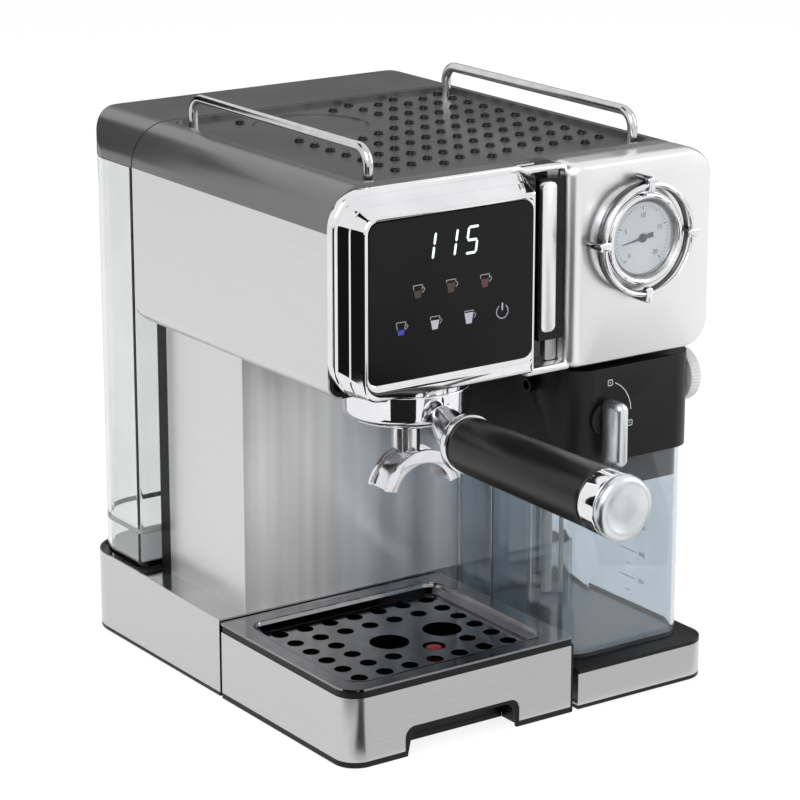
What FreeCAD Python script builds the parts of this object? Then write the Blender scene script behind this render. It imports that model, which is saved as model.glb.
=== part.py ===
import FreeCAD
import Part
import math
import os

V = FreeCAD.Vector
os.makedirs("parts", exist_ok=True)

# Lengths are millimetres. While a piece is drawn, x runs right from the base's left face,
# y runs back from the drip tray's front face and z runs up from the worktop.
# Saving moves every piece so that the middle of the whole machine's footprint is the origin.

# Whole machine
machine_w = 245.2
machine_d = 281.0
rail_top = 325.0

# Fits and sheet thicknesses
run_fit = 0.05
free_gap = 0.5
seam = 1.2
skin = 1.0
wall = 2.4
cut_over = 1.0

# Base, feet and platform
foot_h = 1.0
foot_r = 9.0
foot_in = 24.0
skirt_h = 2.2
base_h = 46.0
lip_rise = 2.0
base_rear_r = 26.0
base_front_r = 15.0
platform_h = 24.0
platform_plate_t = 2.5
platform_gap = 4.0

# Drip tray
tray_w = 147.5
tray_d = 127.0
tray_h = 44.6
tray_corner_r = 13.0
tray_trim_h = 3.4
notch_w = 75.0
notch_h = 17.0
notch_depth = 16.0
notch_r = 6.0
grid_rim = 10.5
grid_sink = 5.2
grid_t = 1.2
grid_hole_r = 4.7
grid_pitch_x = 16.4
grid_pitch_y = 15.55
grid_edge_x = 23.5
grid_edge_y = 22.0
grid_back = 1.7
finger_hole_r = 11.0
finger_apart = 35.4
finger_right = 11.9
finger_back = 2.3
float_rise = 6.0
float_r = 9.0
float_hole_r = 6.25
float_stem_r = 3.0
float_sink = 2.2
float_post_r = 1.5
float_right = 10.95
float_y = 42.6
float_z0 = 14.0

# Column behind the cup space
column_in = 17.2
splash_x1 = 165.0
dock_t = 1.5
steam_r = 4.0
steam_reach = 14.0

# Water tank at the back
tank_d = 59.0
tank_wall = 2.2
tank_front_r = 2.5
tank_rear_r = 28.0
tank_foot_gap = 2.0

# Head over the cup space
head_in = 4.4
head_front = 3.6
head_z0 = 196.0
bezel_d = 20.4
side_roll_r = 8.5
side_corner_r = 15.0
cover_z0 = 283.7
cover_z1 = 307.5
cover_roll_r = 23.5
cup_sink = 3.4
cup_edge = 8.0
nub_r = 2.5
nub_h = 2.2
nub_pitch_x = 15.65
nub_pitch_y = 15.3
nub_left = 29.0
nub_right = 2.0
nub_front = 28.0
nub_back = 7.0
dish_r = 33.0
dish_depth = 1.0

# Cup rails
rail_wire_r = 2.75
rail_in = 36.5
rail_y0 = 34.0
rail_y1 = 207.0
rail_bend_r = 9.0

# Touch glass and its frame
glass_x0 = 16.3
glass_share = 0.48777
glass_z0 = 206.5
glass_z1 = 291.2
glass_r = 6.0
glass_t = 3.0
frame_rim = 3.2
frame_r = 20.0

# Upright channel and bar between the glass and the gauge panel
channel_w = 23.0
channel_depth = 13.0
bar_w = 8.8
bar_left = 1.8
bar_z0 = 217.5
bar_z1 = 298.5

# Gauge panel and pressure gauge
panel_z0 = 194.0
panel_z1 = 305.5
panel_r = 16.0
panel_edge_r = 6.0
gauge_left = 3.5
gauge_z = 262.0
gauge_r = 25.0
dial_r = 19.4
gauge_stand = 6.0
dial_depth = 2.6
gauge_case_d = 18.0
needle_r = 1.0
needle_l = 15.0
needle_tail = 7.0
needle_dip_deg = 9.5
guard_r = 29.7
guard_wire_r = 1.3
guard_split = 5.2
guard_stand = 11.8
post_r = 1.8
post_out = 3.0
clamp_w = 4.6
clamp_t = 3.4
clamp_in = 3.7

# Brew group
group_y = 54.0
collar_r = 34.0
collar_z0 = 183.5
collar_lip = 2.5
collar_slot = 5.0
bayonet_r = 27.0
lug_reach = 3.2
lug_t = 2.6
lug_half_deg = 18.0
unlock_deg = 45.0
gasket_h = 3.4
boiler_r = 36.0
boiler_h = 52.0

# Portafilter
bowl_r = 33.0
bowl_h = 12.5
bowl_floor = 3.0
basket_t = 0.6
handle_z = 168.0
handle_reach = 188.7
neck_r = 9.5
grip_r0 = 15.0
grip_r1 = 16.2
handle_ring_l = 8.0
ferrule_l = 13.0
cap_l = 6.0
cap_r = 16.8
spout_post_r = 7.6
spout_post_l = 20.0
spout_w = 18.0
spout_t = 7.0
spout_r = 25.0
spout_half_deg = 75.0
spout_forward = 8.0

# Milk container and frother
milk_x0 = 155.0
milk_in_r = 10.2
milk_y0 = 12.0
milk_h = 112.0
milk_wall = 2.0
milk_corner_r = 12.0
milk_grip_y0 = 52.0
milk_grip_y1 = 86.0
milk_grip_depth = 6.0
frother_lap = 3.0
frother_h = 53.5
frother_skirt = 17.0
frother_bottom_t = 3.0
intake_r = 3.0
milk_spout_r = 4.0
milk_spout_reach = 4.0
milk_spout_y = 46.0
milk_spout_drop = 14.0
lever_x = 172.5
lever_below_top = 28.0
lever_up = 12.3
lever_down = 23.8
lever_w = 8.6
lever_stand = 18.0
lever_boss_r = 9.0
knob_r = 15.3
knob_out = 8.0
knob_back = 20.0
knob_below_top = 17.6
knob_spindle_r = 4.0

# Places that follow from the sizes above
skirt_top = foot_h + skirt_h
rear_y = tray_d + seam
platform_x = tray_w + platform_gap
plate_z0 = platform_h - platform_plate_t
tank_y = machine_d - tank_d
column_back = tank_y - seam
column_x0 = column_in
column_x1 = machine_w - column_in
head_x0 = head_in
head_x1 = machine_w - head_in
bezel_back = head_front + bezel_d
cup_z = cover_z1 - cup_sink
rail_xl = rail_in
rail_xr = machine_w - rail_in
glass_x1 = glass_share * machine_w
bezel_x1 = glass_x1 + frame_rim / 2
channel_x0 = bezel_x1
channel_x1 = channel_x0 + channel_w
gauge_x = (channel_x1 + head_x1) / 2 - gauge_left
gauge_face = head_front - gauge_stand
dial_back = gauge_face + dial_depth
gauge_barrel_r = dial_r + 2 * skin
group_x = tray_w / 2
float_x = group_x + float_right
rim_z = collar_z0 + collar_lip + collar_slot - free_gap
gasket_z0 = rim_z + basket_t + free_gap
gasket_z1 = gasket_z0 + gasket_h
group_neck_r = bayonet_r - wall
bowl_z1 = collar_z0 - free_gap
bowl_z0 = bowl_z1 - bowl_h
handle_end = group_y - handle_reach
milk_x1 = machine_w - milk_in_r
milk_y1 = rear_y - dock_t - 6 * free_gap
milk_z0 = platform_h + free_gap
milk_z1 = milk_z0 + milk_h
frother_x0 = milk_x0 - frother_lap
frother_x1 = milk_x1 + frother_lap
frother_y0 = milk_y0 - frother_lap
frother_y1 = milk_y1 + free_gap
frother_z0 = milk_z1
frother_z1 = frother_z0 + frother_h
steam_x = (frother_x0 + frother_x1) / 2
steam_z = frother_z0 + frother_h / 2
lever_z = frother_z1 - lever_below_top
knob_y = frother_y0 + knob_back
knob_z = frother_z1 - knob_below_top
knob_x = frother_x1 + knob_out
spout_top = bowl_z0 - spout_post_l
tank_z0 = base_h + tank_foot_gap
tank_x0 = head_x0
tank_x1 = head_x1
tank_y1 = machine_d - skin - free_gap
tank_z1 = cover_z0 - free_gap
lid_pin_r = 1.5
lid_heel_r = 6.2
lid_pin_y = tank_y1 - lid_heel_r + tank_wall / 2
lid_pin_z = cover_z0 + lid_heel_r / 2
tank_rear_z1 = lid_pin_z - (machine_d - lid_pin_y) - 2 * free_gap
valve_x = machine_w / 2
valve_y = tank_y + tank_d / 2
valve_r = 11.0
middle_x = knob_x / 2
middle_y = (machine_d + handle_end) / 2


# Drawing helpers
def to_point(plane, u, v, w):
    if plane == "xy":
        return V(u, v, w)
    if plane == "xz":
        return V(u, w, v)
    return V(w, u, v)


def rect(u0, u1, v0, v1):
    return [(u0, v0), (u1, v0), (u1, v1), (u0, v1)]


def outline(plane, corners, radii, w):
    edges = []
    ends = []
    count = len(corners)
    for i in range(count):
        here = to_point(plane, corners[i][0], corners[i][1], w)
        before = to_point(plane, corners[i - 1][0], corners[i - 1][1], w)
        after_2d = corners[(i + 1) % count]
        after = to_point(plane, after_2d[0], after_2d[1], w)
        back = (before - here).normalize()
        ahead = (after - here).normalize()
        if radii[i] <= 0:
            ends.append((here, here))
            continue
        half = back.getAngle(ahead) / 2
        reach = radii[i] / math.tan(half)
        first = here + back * reach
        last = here + ahead * reach
        inward = (back + ahead).normalize()
        mid = here + inward * (radii[i] / math.sin(half) - radii[i])
        edges.append((i, Part.Arc(first, mid, last).toShape()))
        ends.append((first, last))
    arcs = dict(edges)
    ordered = []
    for i in range(count):
        if i in arcs:
            ordered.append(arcs[i])
        start = ends[i][1]
        stop = ends[(i + 1) % count][0]
        if (stop - start).Length > 1e-6:
            ordered.append(Part.LineSegment(start, stop).toShape())
    return Part.Wire(ordered)


def prism(plane, corners, radii, w0, w1):
    face = Part.Face(outline(plane, corners, radii, w0))
    return face.extrude(to_point(plane, 0, 0, w1 - w0))


def box(x0, x1, y0, y1, z0, z1):
    return Part.makeBox(x1 - x0, y1 - y0, z1 - z0, V(x0, y0, z0))


def rod_x(y, z, r, x0, x1):
    return Part.makeCylinder(r, x1 - x0, V(x0, y, z), V(1, 0, 0))


def rod_y(x, z, r, y0, y1):
    return Part.makeCylinder(r, y1 - y0, V(x, y0, z), V(0, 1, 0))


def rod_z(x, y, r, z0, z1):
    return Part.makeCylinder(r, z1 - z0, V(x, y, z0), V(0, 0, 1))


def turned(x, y, profile):
    points = [V(x + r, y, z) for r, z in profile]
    face = Part.Face(Part.makePolygon(points + [points[0]]))
    return face.revolve(V(x, y, 0), V(0, 0, 1), 360)


def turned_y(x, z, profile):
    points = [V(x + r, y, z) for r, y in profile]
    face = Part.Face(Part.makePolygon(points + [points[0]]))
    return face.revolve(V(x, 0, z), V(0, 1, 0), 360)


def joined(first, *others):
    return first.multiFuse(list(others)).removeSplitter()


def less(first, *others):
    return first.cut(list(others))


def tube_path(points, bend):
    edges = []
    start = points[0]
    for i in range(1, len(points) - 1):
        here = points[i]
        back = (points[i - 1] - here).normalize()
        ahead = (points[i + 1] - here).normalize()
        half = back.getAngle(ahead) / 2
        reach = bend / math.tan(half)
        first = here + back * reach
        last = here + ahead * reach
        mid = here + (back + ahead).normalize() * (bend / math.sin(half) - bend)
        edges.append(Part.LineSegment(start, first).toShape())
        edges.append(Part.Arc(first, mid, last).toShape())
        start = last
    edges.append(Part.LineSegment(start, points[-1]).toShape())
    return Part.Wire(edges)


def wire_rod(points, bend, r):
    path = tube_path(points, bend)
    ring = Part.Wire(Part.makeCircle(r, points[0], points[1] - points[0]))
    return path.makePipeShell([ring], True, False)


def save(name, *solids):
    shape = solids[0] if len(solids) == 1 else Part.makeCompound(list(solids))
    placed = shape.copy()
    placed.translate(V(-middle_x, -middle_y, 0))
    placed.exportStep("parts/" + name + ".step")


# Black bottom plate with a tongue that carries the drip tray
def base_plate():
    rear = prism("xy", rect(0, machine_w, rear_y, machine_d), [0, 0, base_rear_r, base_rear_r], foot_h, skirt_top)
    step = prism("xy", rect(platform_x, machine_w, 0, rear_y), [0, base_front_r, 0, 0], foot_h, skirt_top)
    tongue = box(4 * wall, tray_w - 4 * wall, 2 * notch_depth, rear_y, foot_h, skirt_top)
    return joined(rear, step, tongue)


def feet():
    places = [(foot_in, 2 * foot_in), (machine_w - foot_in, foot_in)]
    places += [(foot_in, machine_d - 1.3 * foot_in), (machine_w - foot_in, machine_d - 1.3 * foot_in)]
    return [rod_z(x, y, foot_r, 0, foot_h) for x, y in places]


# Hollow black base: a high box at the back and a low box under the milk container
def base_shell():
    inner_r = base_rear_r - skin
    rear_plan = rect(skin, machine_w - skin, rear_y, machine_d - skin)
    rear = prism("xy", rear_plan, [0, 0, inner_r, inner_r], skirt_top, base_h)
    x0 = skin + wall
    x1 = machine_w - skin - wall
    y1 = machine_d - skin - wall
    hollow_r = inner_r - wall
    hollow = prism("xy", rect(x0, x1, rear_y + wall, y1), [0, 0, hollow_r, hollow_r], skirt_top, base_h - wall)
    front_r = base_front_r - skin
    low = prism("xy", rect(platform_x, machine_w - skin, skin, rear_y), [0, front_r, 0, 0], skirt_top, plate_z0)
    low_x0 = platform_x + wall
    low_in = rect(low_x0, x1, skin + wall, rear_y - wall)
    low_hollow = prism("xy", low_in, [0, front_r - wall, 0, 0], skirt_top, plate_z0 - wall)
    way_x0 = column_x0 + 4 * wall
    way_x1 = column_x1 - 4 * wall
    hose_way = box(way_x0, way_x1, rear_y + 8 * wall, column_back - 4 * wall, skirt_top, base_h + cut_over)
    valve_way = rod_z(valve_x, valve_y, valve_r + wall, skirt_top, base_h + cut_over)
    gland_way = rod_y(gland_x, gland_z, gland_r, machine_d - base_rear_r, machine_d)
    return less(joined(rear, low), hollow, low_hollow, hose_way, valve_way, gland_way)


# Brushed steel sheet round the back of the base, its top edge rising to the rear
def base_wrap():
    top = base_h + lip_rise
    outer = prism("xy", rect(0, machine_w, rear_y, machine_d), [0, 0, base_rear_r, base_rear_r], skirt_top, top)
    r = base_rear_r - skin
    inner = rect(skin, machine_w - skin, rear_y - cut_over, machine_d - skin)
    hollow = prism("xy", inner, [0, 0, r, r], skirt_top - cut_over, top + cut_over)
    slope = [(rear_y - cut_over, base_h), (rear_y + column_in, base_h), (tank_y, top), (rear_y - cut_over, top)]
    over = prism("yz", slope, [0, 0, 0, 0], -cut_over, machine_w + cut_over)
    gland_way = rod_y(gland_x, gland_z, gland_r, machine_d - base_rear_r, machine_d + cut_over)
    return less(outer, hollow, over, gland_way)


def platform_strip():
    outer = prism("xy", rect(platform_x, machine_w, 0, rear_y), [0, base_front_r, 0, 0], skirt_top, plate_z0)
    inner = rect(platform_x - cut_over, machine_w - skin, skin, rear_y + cut_over)
    hollow = prism("xy", inner, [0, base_front_r - skin, 0, 0], skirt_top - cut_over, plate_z0 + cut_over)
    return less(outer, hollow)


def platform_plate():
    return prism("xy", rect(platform_x, machine_w, 0, rear_y), [0, base_front_r, 0, 0], plate_z0, platform_h)


# Where the mains lead would enter, low on the rear wall
gland_x = machine_w * 0.8
gland_z = base_h / 2
gland_r = 8.0


def cord_gland():
    body = rod_y(gland_x, gland_z, gland_r - run_fit, machine_d - 4 * wall, machine_d)
    flange = rod_y(gland_x, gland_z, gland_r + wall, machine_d - 4 * wall, machine_d - skin - wall)
    way = rod_y(gland_x, gland_z, gland_r / 2, machine_d - base_rear_r, machine_d + cut_over)
    return less(joined(body, flange), way)


# Column between base and head
def column_shell():
    outer = box(column_x0 + skin, column_x1 - skin, rear_y + skin, column_back, base_h, head_z0)
    inner_x0 = column_x0 + skin + wall
    inner_x1 = column_x1 - skin - wall
    inner = box(inner_x0, inner_x1, rear_y + skin + wall, column_back - wall, base_h, head_z0)
    way = rod_y(steam_x, steam_z, steam_r + free_gap, rear_y, rear_y + 4 * wall)
    return less(outer, inner, way)


def splash_panel():
    return box(column_x0, splash_x1, rear_y, rear_y + skin, base_h, head_z0)


def column_sides():
    y1 = column_back - 5 * wall
    left = box(column_x0, column_x0 + skin, rear_y + skin, y1, base_h, head_z0)
    right = box(column_x1 - skin, column_x1, rear_y + skin, y1, base_h, head_z0)
    return [left, right]


def dock_panel():
    lower = box(splash_x1, column_x1, rear_y - dock_t, rear_y, platform_h, head_z0)
    upper = box(splash_x1, column_x1, rear_y, rear_y + skin, base_h, head_z0)
    way = rod_y(steam_x, steam_z, steam_r + free_gap, rear_y - 2 * dock_t, rear_y + 2 * wall)
    return less(joined(lower, upper), way)


# Steam outlet that plugs into the back of the frother
def steam_nozzle():
    tip = rear_y - dock_t - steam_reach
    root = rear_y + skin + wall
    stem = rod_y(steam_x, steam_z, steam_r, tip, root)
    flange = rod_y(steam_x, steam_z, 2 * steam_r, root, root + wall)
    bore = rod_y(steam_x, steam_z, steam_r / 3, tip - cut_over, root + wall + cut_over)
    return less(joined(stem, flange), bore)


# Black lower tray of the head with openings for the group and the column
def head_pan():
    r = side_roll_r - skin
    x0 = head_x0 + skin
    x1 = head_x1 - skin
    top = head_z0 + 4 * side_roll_r
    z0 = head_z0
    outer = prism("xz", rect(x0, x1, z0 + skin, top), [r, r, 0, 0], bezel_back, column_back)
    inner = rect(x0 + wall, x1 - wall, z0 + skin + wall, top + cut_over)
    hollow = prism("xz", inner, [r - wall, r - wall, 0, 0], bezel_back - cut_over, column_back + cut_over)
    floor_x0 = head_x0 + side_roll_r
    floor = box(floor_x0, head_x1 - side_roll_r, bezel_back, column_back, z0, z0 + skin)
    group_way = rod_z(group_x, group_y, group_neck_r + free_gap, z0 - cut_over, z0 + 4 * wall)
    y0 = rear_y + 4 * wall
    way_x0 = column_x0 + 4 * wall
    way_x1 = column_x1 - 4 * wall
    hose_way = box(way_x0, way_x1, y0, column_back - 4 * wall, z0 - cut_over, z0 + 4 * wall)
    return less(joined(less(outer, hollow), floor), group_way, hose_way)


# Brushed steel side sheets of the head, rolled under at the bottom
def head_sides():
    r = side_roll_r
    outer = prism("xz", rect(head_x0, head_x1, head_z0, cover_z0), [r, r, 0, 0], bezel_back, column_back)
    inner = rect(head_x0 + skin, head_x1 - skin, head_z0 + skin, cover_z0 + cut_over)
    hollow = prism("xz", inner, [r - skin, r - skin, 0, 0], bezel_back - cut_over, column_back + cut_over)
    middle_y0 = bezel_back - cut_over
    middle = box(head_x0 + r, head_x1 - r, middle_y0, column_back + cut_over, head_z0 - cut_over, cover_z0)
    c = side_corner_r
    corner = rect(column_back - c, column_back + cut_over, head_z0 - cut_over, head_z0 + c)
    block = prism("yz", corner, [0, 0, 0, 0], head_x0 - cut_over, head_x1 + cut_over)
    round_off = rod_x(column_back - c, head_z0 + c, c, head_x0 - 2 * cut_over, head_x1 + 2 * cut_over)
    skin_pair = less(outer, hollow, middle, less(block, round_off))
    return skin_pair.Solids


def cover_profile(z0, inset):
    x0 = head_x0 + inset
    x1 = head_x1 - inset
    return rect(x0, x1, z0, cover_z1 - inset)


# Dark top cover: rolled sides, sunken cup floor, a shallow round seat and rows of nubs
def top_cover():
    r = cover_roll_r
    outer = prism("xz", cover_profile(cover_z0, 0), [0, 0, r, r], bezel_back, column_back)
    hollow_top = cup_z - wall
    inner = rect(head_x0 + wall, head_x1 - wall, cover_z0 - cut_over, hollow_top)
    inner_r = r - wall - cup_sink
    hollow = prism("xz", inner, [0, 0, inner_r, inner_r], bezel_back + wall, column_back - wall)
    floor = rect(rail_xl - cup_edge, rail_xr + cup_edge, bezel_back + wall, column_back - wall)
    sunk = prism("xy", floor, [cup_edge] * 4, cup_z, cover_z1 + cut_over)
    dish = rod_z(dish_x, dish_y, dish_r, cup_z - dish_depth, cover_z1)
    holes = [rod_z(x, y, rail_wire_r + run_fit, hollow_top - cut_over, cup_z + cut_over) for x, y in rail_feet()]
    cover = less(outer, hollow, sunk, dish, *holes)
    return joined(cover, *nubs())


dish_x = rail_xl + 1.8 * dish_r
dish_y = tank_y - 1.3 * dish_r


def nubs():
    shapes = []
    x0 = rail_xl + nub_left
    x1 = rail_xr - nub_right
    y0 = bezel_back + nub_front
    y1 = column_back - nub_back
    columns = int((x1 - x0) / nub_pitch_x) + 1
    rows = int((y1 - y0) / nub_pitch_y) + 1
    for i in range(columns):
        for j in range(rows):
            x = x0 + i * nub_pitch_x
            y = y0 + j * nub_pitch_y + (i % 2) * nub_pitch_y / 2
            clear = math.hypot(x - dish_x, y - dish_y) > dish_r + 2.6 * nub_r
            if clear and y < y1:
                shapes.append(Part.makeCone(nub_r, nub_r * 0.55, nub_h, V(x, y, cup_z)))
    return shapes


def rail_feet():
    return [(x, y) for x in (rail_xl, rail_xr) for y in (rail_y0, rail_y1)]


def cup_rail(x):
    z0 = cup_z - wall
    z1 = rail_top - rail_wire_r
    points = [V(x, rail_y0, z0), V(x, rail_y0, z1), V(x, rail_y1, z1), V(x, rail_y1, z0)]
    return wire_rod(points, rail_bend_r, rail_wire_r)


# Chrome frame round the glass: it steps in from the head's section to the glass
def glass_frame():
    z0 = head_z0
    z1 = panel_z1
    x1 = bezel_x1
    back = rect(head_x0, x1, z0, z1)
    mid_in = (glass_x0 - head_x0) / 2
    mid = rect(head_x0 + mid_in, x1, z0 + mid_in / 2, z1 - mid_in)
    face = rect(glass_x0 - frame_rim, x1, glass_z0 - frame_rim, glass_z1 + frame_rim)
    y_mid = head_front + bezel_d / 2
    small = glass_r + frame_rim
    wires = [outline("xz", back, [frame_r, skin, skin, frame_r], bezel_back)]
    wires.append(outline("xz", mid, [frame_r * 0.7, skin, skin, frame_r * 0.7], y_mid))
    wires.append(outline("xz", face, [small, skin, skin, small], head_front))
    outer = Part.makeLoft(wires, True, True)
    opening = rect(glass_x0 - run_fit, glass_x1 + run_fit, glass_z0 - run_fit, glass_z1 + run_fit)
    through = prism("xz", opening, [glass_r] * 4, head_front - cut_over, bezel_back + cut_over)
    return less(outer, through)


def touch_glass():
    face = rect(glass_x0, glass_x1, glass_z0, glass_z1)
    return prism("xz", face, [glass_r - run_fit] * 4, head_front, head_front + glass_t)


def display_board():
    y0 = head_front + glass_t
    board = box(glass_x0 + wall, glass_x1 - wall, y0 + wall, y0 + 2 * wall, glass_z0 + wall, glass_z1 - wall)
    x_mid = (glass_x0 + glass_x1) / 2
    w = (glass_x1 - glass_x0) / 4
    z_mid = glass_z1 - (glass_z1 - glass_z0) / 5
    digits = box(x_mid - w, x_mid + w, y0, y0 + wall, z_mid - w / 2, z_mid + w / 3)
    return joined(board, digits)


def channel_trim():
    y0 = head_front + channel_depth
    return box(channel_x0, channel_x1, y0, bezel_back, head_z0, panel_z1)


def trim_bar():
    mid = (channel_x0 + channel_x1) / 2 - bar_left
    y0 = head_front + skin
    y1 = head_front + channel_depth
    face = rect(mid - bar_w / 2, mid + bar_w / 2, bar_z0, bar_z1)
    half = bar_w / 2 - run_fit
    bar = prism("xz", face, [half] * 4, y0, (y0 + y1) / 2)
    stem_face = rect(mid - bar_w / 4, mid + bar_w / 4, bar_z0 + bar_w, bar_z1 - bar_w)
    stem = prism("xz", stem_face, [0] * 4, (y0 + y1) / 2, y1)
    return joined(bar, stem)


# Bright gauge panel, a shallow box open at the back, rolled into the channel
def gauge_panel():
    face = rect(channel_x1, head_x1, panel_z0, panel_z1)
    small = panel_edge_r
    outer = prism("xz", face, [small, panel_r, panel_r, small], head_front, bezel_back)
    inner = rect(channel_x1 + wall, head_x1 - wall, panel_z0 + wall, panel_z1 - wall)
    r = panel_r - wall
    hollow = prism("xz", inner, [wall, r, r, wall], head_front + wall, bezel_back + cut_over)
    way = rod_y(gauge_x, gauge_z, gauge_barrel_r + run_fit, head_front - cut_over, bezel_back)
    return less(outer, hollow, way)


# Pressure gauge
def gauge_case():
    rim = rod_y(gauge_x, gauge_z, gauge_r - skin, gauge_face + skin, head_front)
    barrel = rod_y(gauge_x, gauge_z, gauge_barrel_r, head_front, head_front + gauge_case_d)
    cup = rod_y(gauge_x, gauge_z, dial_r + skin, gauge_face, dial_back)
    spindle = rod_y(gauge_x, gauge_z, needle_r + run_fit, dial_back, head_front + gauge_case_d / 2)
    return less(joined(rim, barrel), cup, spindle)


def gauge_dial():
    disc = rod_y(gauge_x, gauge_z, dial_r + skin - run_fit, dial_back - skin / 2, dial_back)
    way = rod_y(gauge_x, gauge_z, needle_r + free_gap, gauge_face, dial_back + cut_over)
    return less(disc, way)


def gauge_ring():
    outer = rod_y(gauge_x, gauge_z, gauge_r, gauge_face - skin, head_front)
    seat = rod_y(gauge_x, gauge_z, gauge_r - skin, gauge_face, head_front + cut_over)
    sight = rod_y(gauge_x, gauge_z, dial_r, gauge_face - 2 * skin, head_front)
    return less(outer, seat, sight)


def gauge_lens():
    return rod_y(gauge_x, gauge_z, gauge_r - skin, gauge_face, gauge_face + skin)


def gauge_needle():
    y1 = dial_back - skin / 2 - 0.4 * skin
    y0 = y1 - 0.4 * skin
    hub = rod_y(gauge_x, gauge_z, 2.4 * needle_r, y0, y1)
    spindle = rod_y(gauge_x, gauge_z, needle_r, y0, head_front + gauge_case_d / 3)
    w = 0.8 * needle_r
    blade = [(gauge_x - needle_l, gauge_z), (gauge_x, gauge_z - w), (gauge_x + needle_tail, gauge_z - 1.6 * w)]
    blade += [(gauge_x + needle_tail, gauge_z + 1.6 * w), (gauge_x, gauge_z + w)]
    hand = prism("xz", blade, [0] * 5, y0, y1)
    hand.rotate(V(gauge_x, 0, gauge_z), V(0, 1, 0), -needle_dip_deg)
    return joined(hub, spindle, hand)


# Two wire rings round the gauge, one behind the other, held off the panel by four posts with clamps
def guard_wires():
    front = head_front - guard_stand + 1.25 * guard_wire_r
    levels = (front, front + guard_split)
    return [Part.makeTorus(guard_r, guard_wire_r, V(gauge_x, y, gauge_z), V(0, 1, 0)) for y in levels]


def guard_clamps():
    shapes = []
    y0 = head_front - guard_stand
    for turn in range(4):
        post = rod_y(0, guard_r + post_out, post_r, y0, head_front)
        z0 = guard_r - clamp_in
        clamp = joined(post, box(-clamp_w / 2, clamp_w / 2, y0, y0 + clamp_t, z0, guard_r + post_out))
        clamp.translate(V(gauge_x, 0, gauge_z))
        clamp.rotate(V(gauge_x, 0, gauge_z), V(0, 1, 0), 90 * turn)
        shapes.append(less(clamp, *guard_wires()))
    return shapes


# Brew group: bayonet collar, brew head, gasket, shower screen and boiler
def lug_sector(r, z0, z1, half_deg, mid_deg):
    steps = 8
    start = mid_deg - half_deg
    points = [(group_x, group_y)]
    for i in range(steps + 1):
        a = math.radians(start + 2 * half_deg * i / steps)
        points.append((group_x + 2 * r * math.cos(a), group_y + 2 * r * math.sin(a)))
    wedge = prism("xy", points, [0] * len(points), z0, z1)
    return wedge.common(rod_z(group_x, group_y, r, z0, z1))


def group_collar():
    z0 = collar_z0
    slot0 = z0 + collar_lip
    slot_r = bayonet_r + lug_reach + free_gap
    mouth = bayonet_r + free_gap
    profile = [(mouth, z0), (collar_r, z0), (collar_r, head_z0)]
    profile += [(slot_r, head_z0), (slot_r, slot0), (mouth, slot0)]
    ring = turned(group_x, group_y, profile)
    entries = []
    for mid in (0, 180):
        entries.append(lug_sector(slot_r, z0 - cut_over, slot0 + cut_over, lug_half_deg + 2, mid - unlock_deg))
    return less(ring, *entries)


def brew_head():
    r = bayonet_r + lug_reach + free_gap
    seat_r = bayonet_r - 2 * wall
    top = head_z0 + skin + 2 * wall
    profile = [(0, gasket_z0 + free_gap), (seat_r, gasket_z0 + free_gap), (seat_r, gasket_z1)]
    profile += [(r, gasket_z1), (r, head_z0), (group_neck_r, head_z0), (group_neck_r, top), (0, top)]
    body = turned(group_x, group_y, profile)
    bore = rod_z(group_x, group_y, 2 * needle_r, gasket_z0, top + cut_over)
    return less(body, bore)


def group_gasket():
    outer = rod_z(group_x, group_y, bayonet_r + lug_reach, gasket_z0, gasket_z1)
    return less(outer, rod_z(group_x, group_y, bayonet_r - 2 * wall, gasket_z0, gasket_z1))


def shower_screen():
    r = bayonet_r - 2 * wall - free_gap
    z1 = gasket_z0 + free_gap
    disc = rod_z(group_x, group_y, r, z1 - skin, z1)
    screw = rod_z(group_x, group_y, 3 * needle_r, z1 - 2 * skin, z1 - skin)
    stem = rod_z(group_x, group_y, 2 * needle_r - run_fit, z1 - skin, z1 + 4 * skin)
    return joined(disc, screw, stem)


def boiler():
    z0 = head_z0 + skin + 2 * wall
    tub = rod_z(group_x, group_y + boiler_r / 3, boiler_r, z0 + wall, z0 + boiler_h)
    flange = rod_z(group_x, group_y, group_neck_r, z0, z0 + wall)
    return joined(tub, flange)


# Pump, hoses and control board inside the column and head
pump_x = group_x + 0.4 * boiler_r
pump_y = (rear_y + column_back) / 2
pump_z0 = base_h + 24.0
pump_r = 14.0
pump_l = 84.0
coil_half = 22.0
hose_r = 3.5


def pump():
    barrel = rod_z(pump_x, pump_y, pump_r, pump_z0, pump_z0 + pump_l)
    z = pump_z0 + pump_l / 4
    coil = box(pump_x - coil_half, pump_x + coil_half, pump_y - coil_half, pump_y + coil_half, z, z + pump_l / 2)
    return joined(barrel, coil)


def hoses():
    low = V(pump_x, pump_y, pump_z0)
    sump = V(pump_x, pump_y, skirt_top + 4 * hose_r)
    feed = wire_rod([V(valve_x, valve_y, sump.z), V(valve_x, pump_y, sump.z), sump, low], 2 * hose_r, hose_r)
    top = pump_z0 + pump_l
    run_z = head_z0 + boiler_h
    boiler_back = group_y + boiler_r / 3 + boiler_r - hose_r / 2
    rise = [V(pump_x, pump_y, top), V(pump_x, pump_y, run_z), V(pump_x, boiler_back, run_z)]
    delivery = wire_rod(rise, 2 * hose_r, hose_r)
    delivery = less(delivery, boiler())
    root = rear_y + skin + 2 * wall
    steam_y = root + 8 * hose_r
    over_z = head_z0 + boiler_h - 4 * hose_r
    side_x = group_x + boiler_r - hose_r / 2
    back_y = group_y + boiler_r / 3
    steam = [V(steam_x, root, steam_z), V(steam_x, steam_y, steam_z), V(steam_x, steam_y, over_z)]
    steam += [V(steam_x, back_y, over_z), V(side_x, back_y, over_z)]
    steam_line = less(wire_rod(steam, 2 * hose_r, hose_r), boiler())
    return [feed, delivery, steam_line]


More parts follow.
